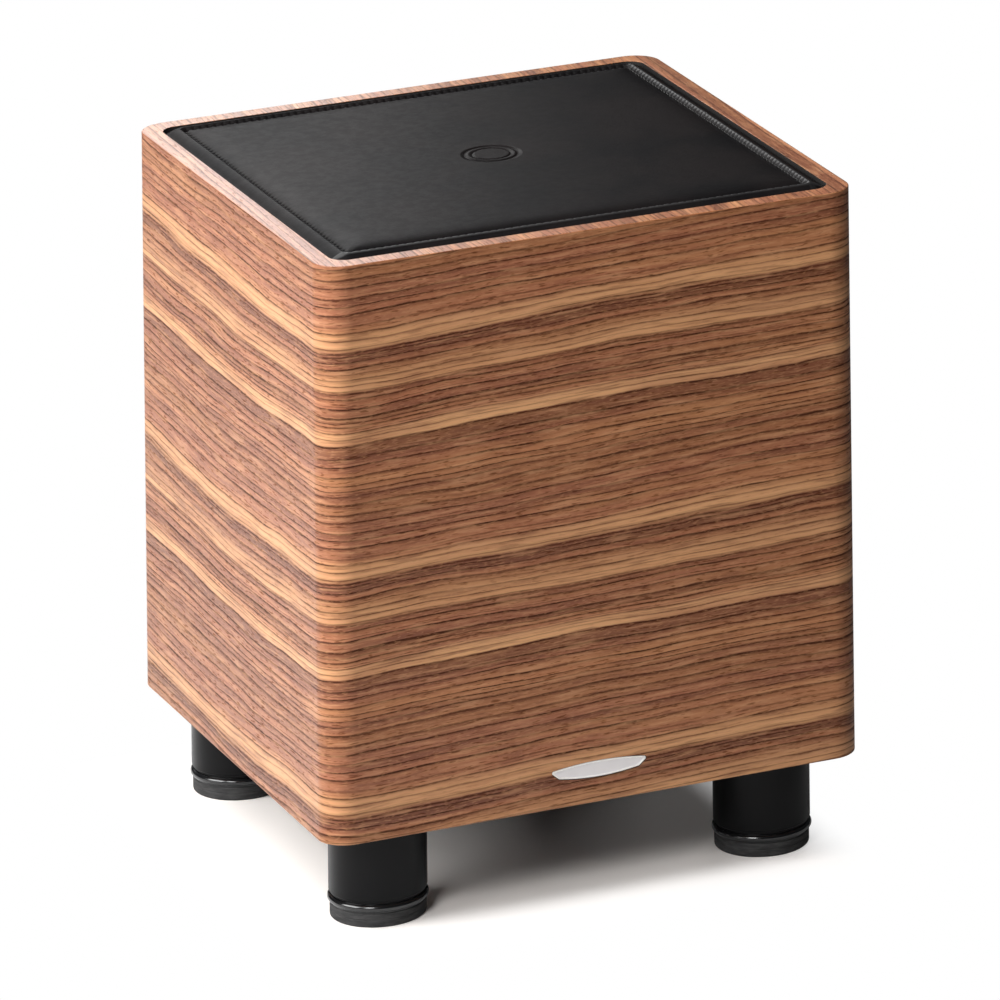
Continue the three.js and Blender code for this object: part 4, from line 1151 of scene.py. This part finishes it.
def speaker_clips():
    """Coloured lever caps on the four sprung clips."""
    caps = []
    for index in range(4):
        material = FINISHES["gloss_black"] if index % 2 else RED_PLASTIC
        cap = rounded_slab("clip_%d" % index, 2.9, 5.6, 0.8, -1.52, -0.85, 0.4, material, 4)
        caps.append(set_in(cap, Matrix.Translation(((10 * index - 15) * MM, 4 * MM, 0))))
    place(set_on_back(joined("clip_caps", caps), "speaker_input"), "cabinet", "plastic")


# ---- Stage, light and camera


def floor():
    """A wide floor: to the camera pale near the object and plain white farther out, dimmer to bounced
    light, and in reflections darker towards the right."""
    extent = 14
    corners = [(-extent, -extent, 0), (extent, -extent, 0), (extent, extent, 0), (-extent, extent, 0)]
    mesh = bpy.data.meshes.new("floor")
    mesh.from_pydata(corners, [], [(0, 1, 2, 3)])
    ground = add_object("floor", mesh)
    g = Graph(bpy.data.materials.new("floor paint"))
    path = g.node("ShaderNodeLightPath")
    x, y, _ = g.separated(g.object_point())
    mirrored = g.mix(g.rescale(x, -0.1, 0.5), (0.85, 0.85, 0.85, 1.0), (0.15, 0.15, 0.15, 1.0))
    paint = g.mix(path.outputs["Is Glossy Ray"], (0.3, 0.29, 0.285, 1.0), mirrored)
    g.set(Base_Color=paint, Roughness=0.9, Specular_IOR_Level=0.1)
    bright = g.node("ShaderNodeBsdfDiffuse", {"Color": (1.07, 1.02, 0.98, 1.0)}).outputs[0]
    white = g.node("ShaderNodeEmission").outputs[0]
    away = g.most(g.math("ABSOLUTE", x), g.math("ABSOLUTE", y))
    # Turns white sooner to the right: painted light over the cabinet's shadow there.
    away = g.most(away, g.times(x, 1.2))
    swept = g.mix_shaders(g.rescale(away, 0.118, 0.185), bright, white)
    seen = g.mix_shaders(path.outputs["Is Camera Ray"], g.shader.outputs[0], swept)
    g.plug(g.tree.nodes["Material Output"].inputs["Surface"], seen)
    mesh.materials.append(g.material)


def surroundings():
    """A dim room that the camera sees as white."""
    world = bpy.data.worlds.new("studio")
    bpy.context.scene.world = world
    world.use_nodes = True
    world.node_tree.nodes.clear()
    g = Graph(world)
    output = g.node("ShaderNodeOutputWorld")
    seen = g.node("ShaderNodeBackground", {"Color": (1, 1, 1, 1)}).outputs[0]
    room = g.node("ShaderNodeBackground", {"Color": (0.9, 0.95, 1, 1), "Strength": 0.035}).outputs[0]
    path = g.node("ShaderNodeLightPath")
    g.plug(output.inputs["Surface"], g.mix_shaders(path.outputs["Is Camera Ray"], room, seen))


def softbox(name, place_at, aim_at, width, height, power):
    """A large soft light that the camera doesn't see."""
    data = bpy.data.lights.new(name, "AREA")
    data.shape = "RECTANGLE"
    data.size = width
    data.size_y = height
    data.energy = power
    light = bpy.data.objects.new(name, data)
    bpy.context.scene.collection.objects.link(light)
    light.location = place_at
    light.rotation_euler = (Vector(aim_at) - Vector(place_at)).to_track_quat("-Z", "Y").to_euler()
    light.visible_camera = False
    return light


PHOTO_PLACE = Vector((-1.95125, -5.19890, 1.92506))
PHOTO_SHIFT = {"shift_x": -1.08016, "shift_y": -3.28428}


def camera():
    """A long lens held level and shifted down, so that upright edges stay nearly upright. The shift is
    only for this viewpoint: from any other place the camera is a plain one."""
    data = bpy.data.cameras.new("camera")
    data.lens = 370.06
    data.clip_end = 60
    eye = bpy.data.objects.new("camera", data)
    eye.location = PHOTO_PLACE
    eye.rotation_euler = (math.radians(90), math.radians(0.63496), math.radians(-26.79755))
    bpy.context.scene.collection.objects.link(eye)
    marker = bpy.data.objects.new("viewpoint", None)
    marker.location = PHOTO_PLACE
    bpy.context.scene.collection.objects.link(marker)
    for channel, amount in PHOTO_SHIFT.items():
        driver = data.driver_add(channel).driver
        driver.type = "SCRIPTED"
        away = driver.variables.new()
        away.name = "away"
        away.type = "LOC_DIFF"
        away.targets[0].id = eye
        away.targets[1].id = marker
        driver.expression = "%.5f if away < 0.001 else 0.0" % amount
    bpy.context.scene.camera = eye


cabinet_wrap()
nameplate()
leather_cover()
pad_foam()
stitches()
for foot_corner in ("front_left", "front_right", "rear_left", "rear_right"):
    foot(foot_corner)
driver_cone()
driver_surround()
driver_spider()
driver_screws()
for knob_name, knob_body in (("level_knob", "level_control"), ("crossover_knob", "crossover_control"),
                             ("phase_knob", "phase_control")):
    knob(knob_name, knob_body)
    dial_marks(knob_name)
line_jack("line_jack_left", PALE_PLASTIC, PALE_PLASTIC)
line_jack("line_jack_right", RED_PLASTIC, FINISHES["plastic"])
mode_toggle()
status_lamp()
amp_screws()
speaker_clips()
for eased_node, edge_width in (("amp_panel", 0.4), ("heatsink", 0.25), ("speaker_input", 0.35),
                               ("mains_inlet", 0.4), ("fuse_drawer", 0.25), ("rocker_frame", 0.4),
                               ("power_rocker", 0.5), ("driver_basket", 0.5), ("base_panel", 0.4)):
    ease_edges(eased_node, edge_width)

floor()
surroundings()
softbox("left side", (-1.35, -0.1, 0.85), (0, 0, 0.2), 1.0, 0.8, 25)
softbox("far left front", (-2.2, -2.4, 2.5), (0, 0, 0.2), 1.2, 1.2, 78)
softbox("top left", (-0.5, -0.1, 1.95), (0, 0, 0.2), 1.5, 1.5, 40)
fill = softbox("fill from behind", (1.6, 2.3, 0.42), (0, 0, 0.2), 1.0, 0.6, 26)
fill.visible_glossy = False
softbox("sheen from behind", (0.1, 1.5, 1.0), (-0.1, 0, 0.35), 0.8, 0.6, 5.5)
camera()

bpy.context.scene.view_settings.view_transform = "Standard"
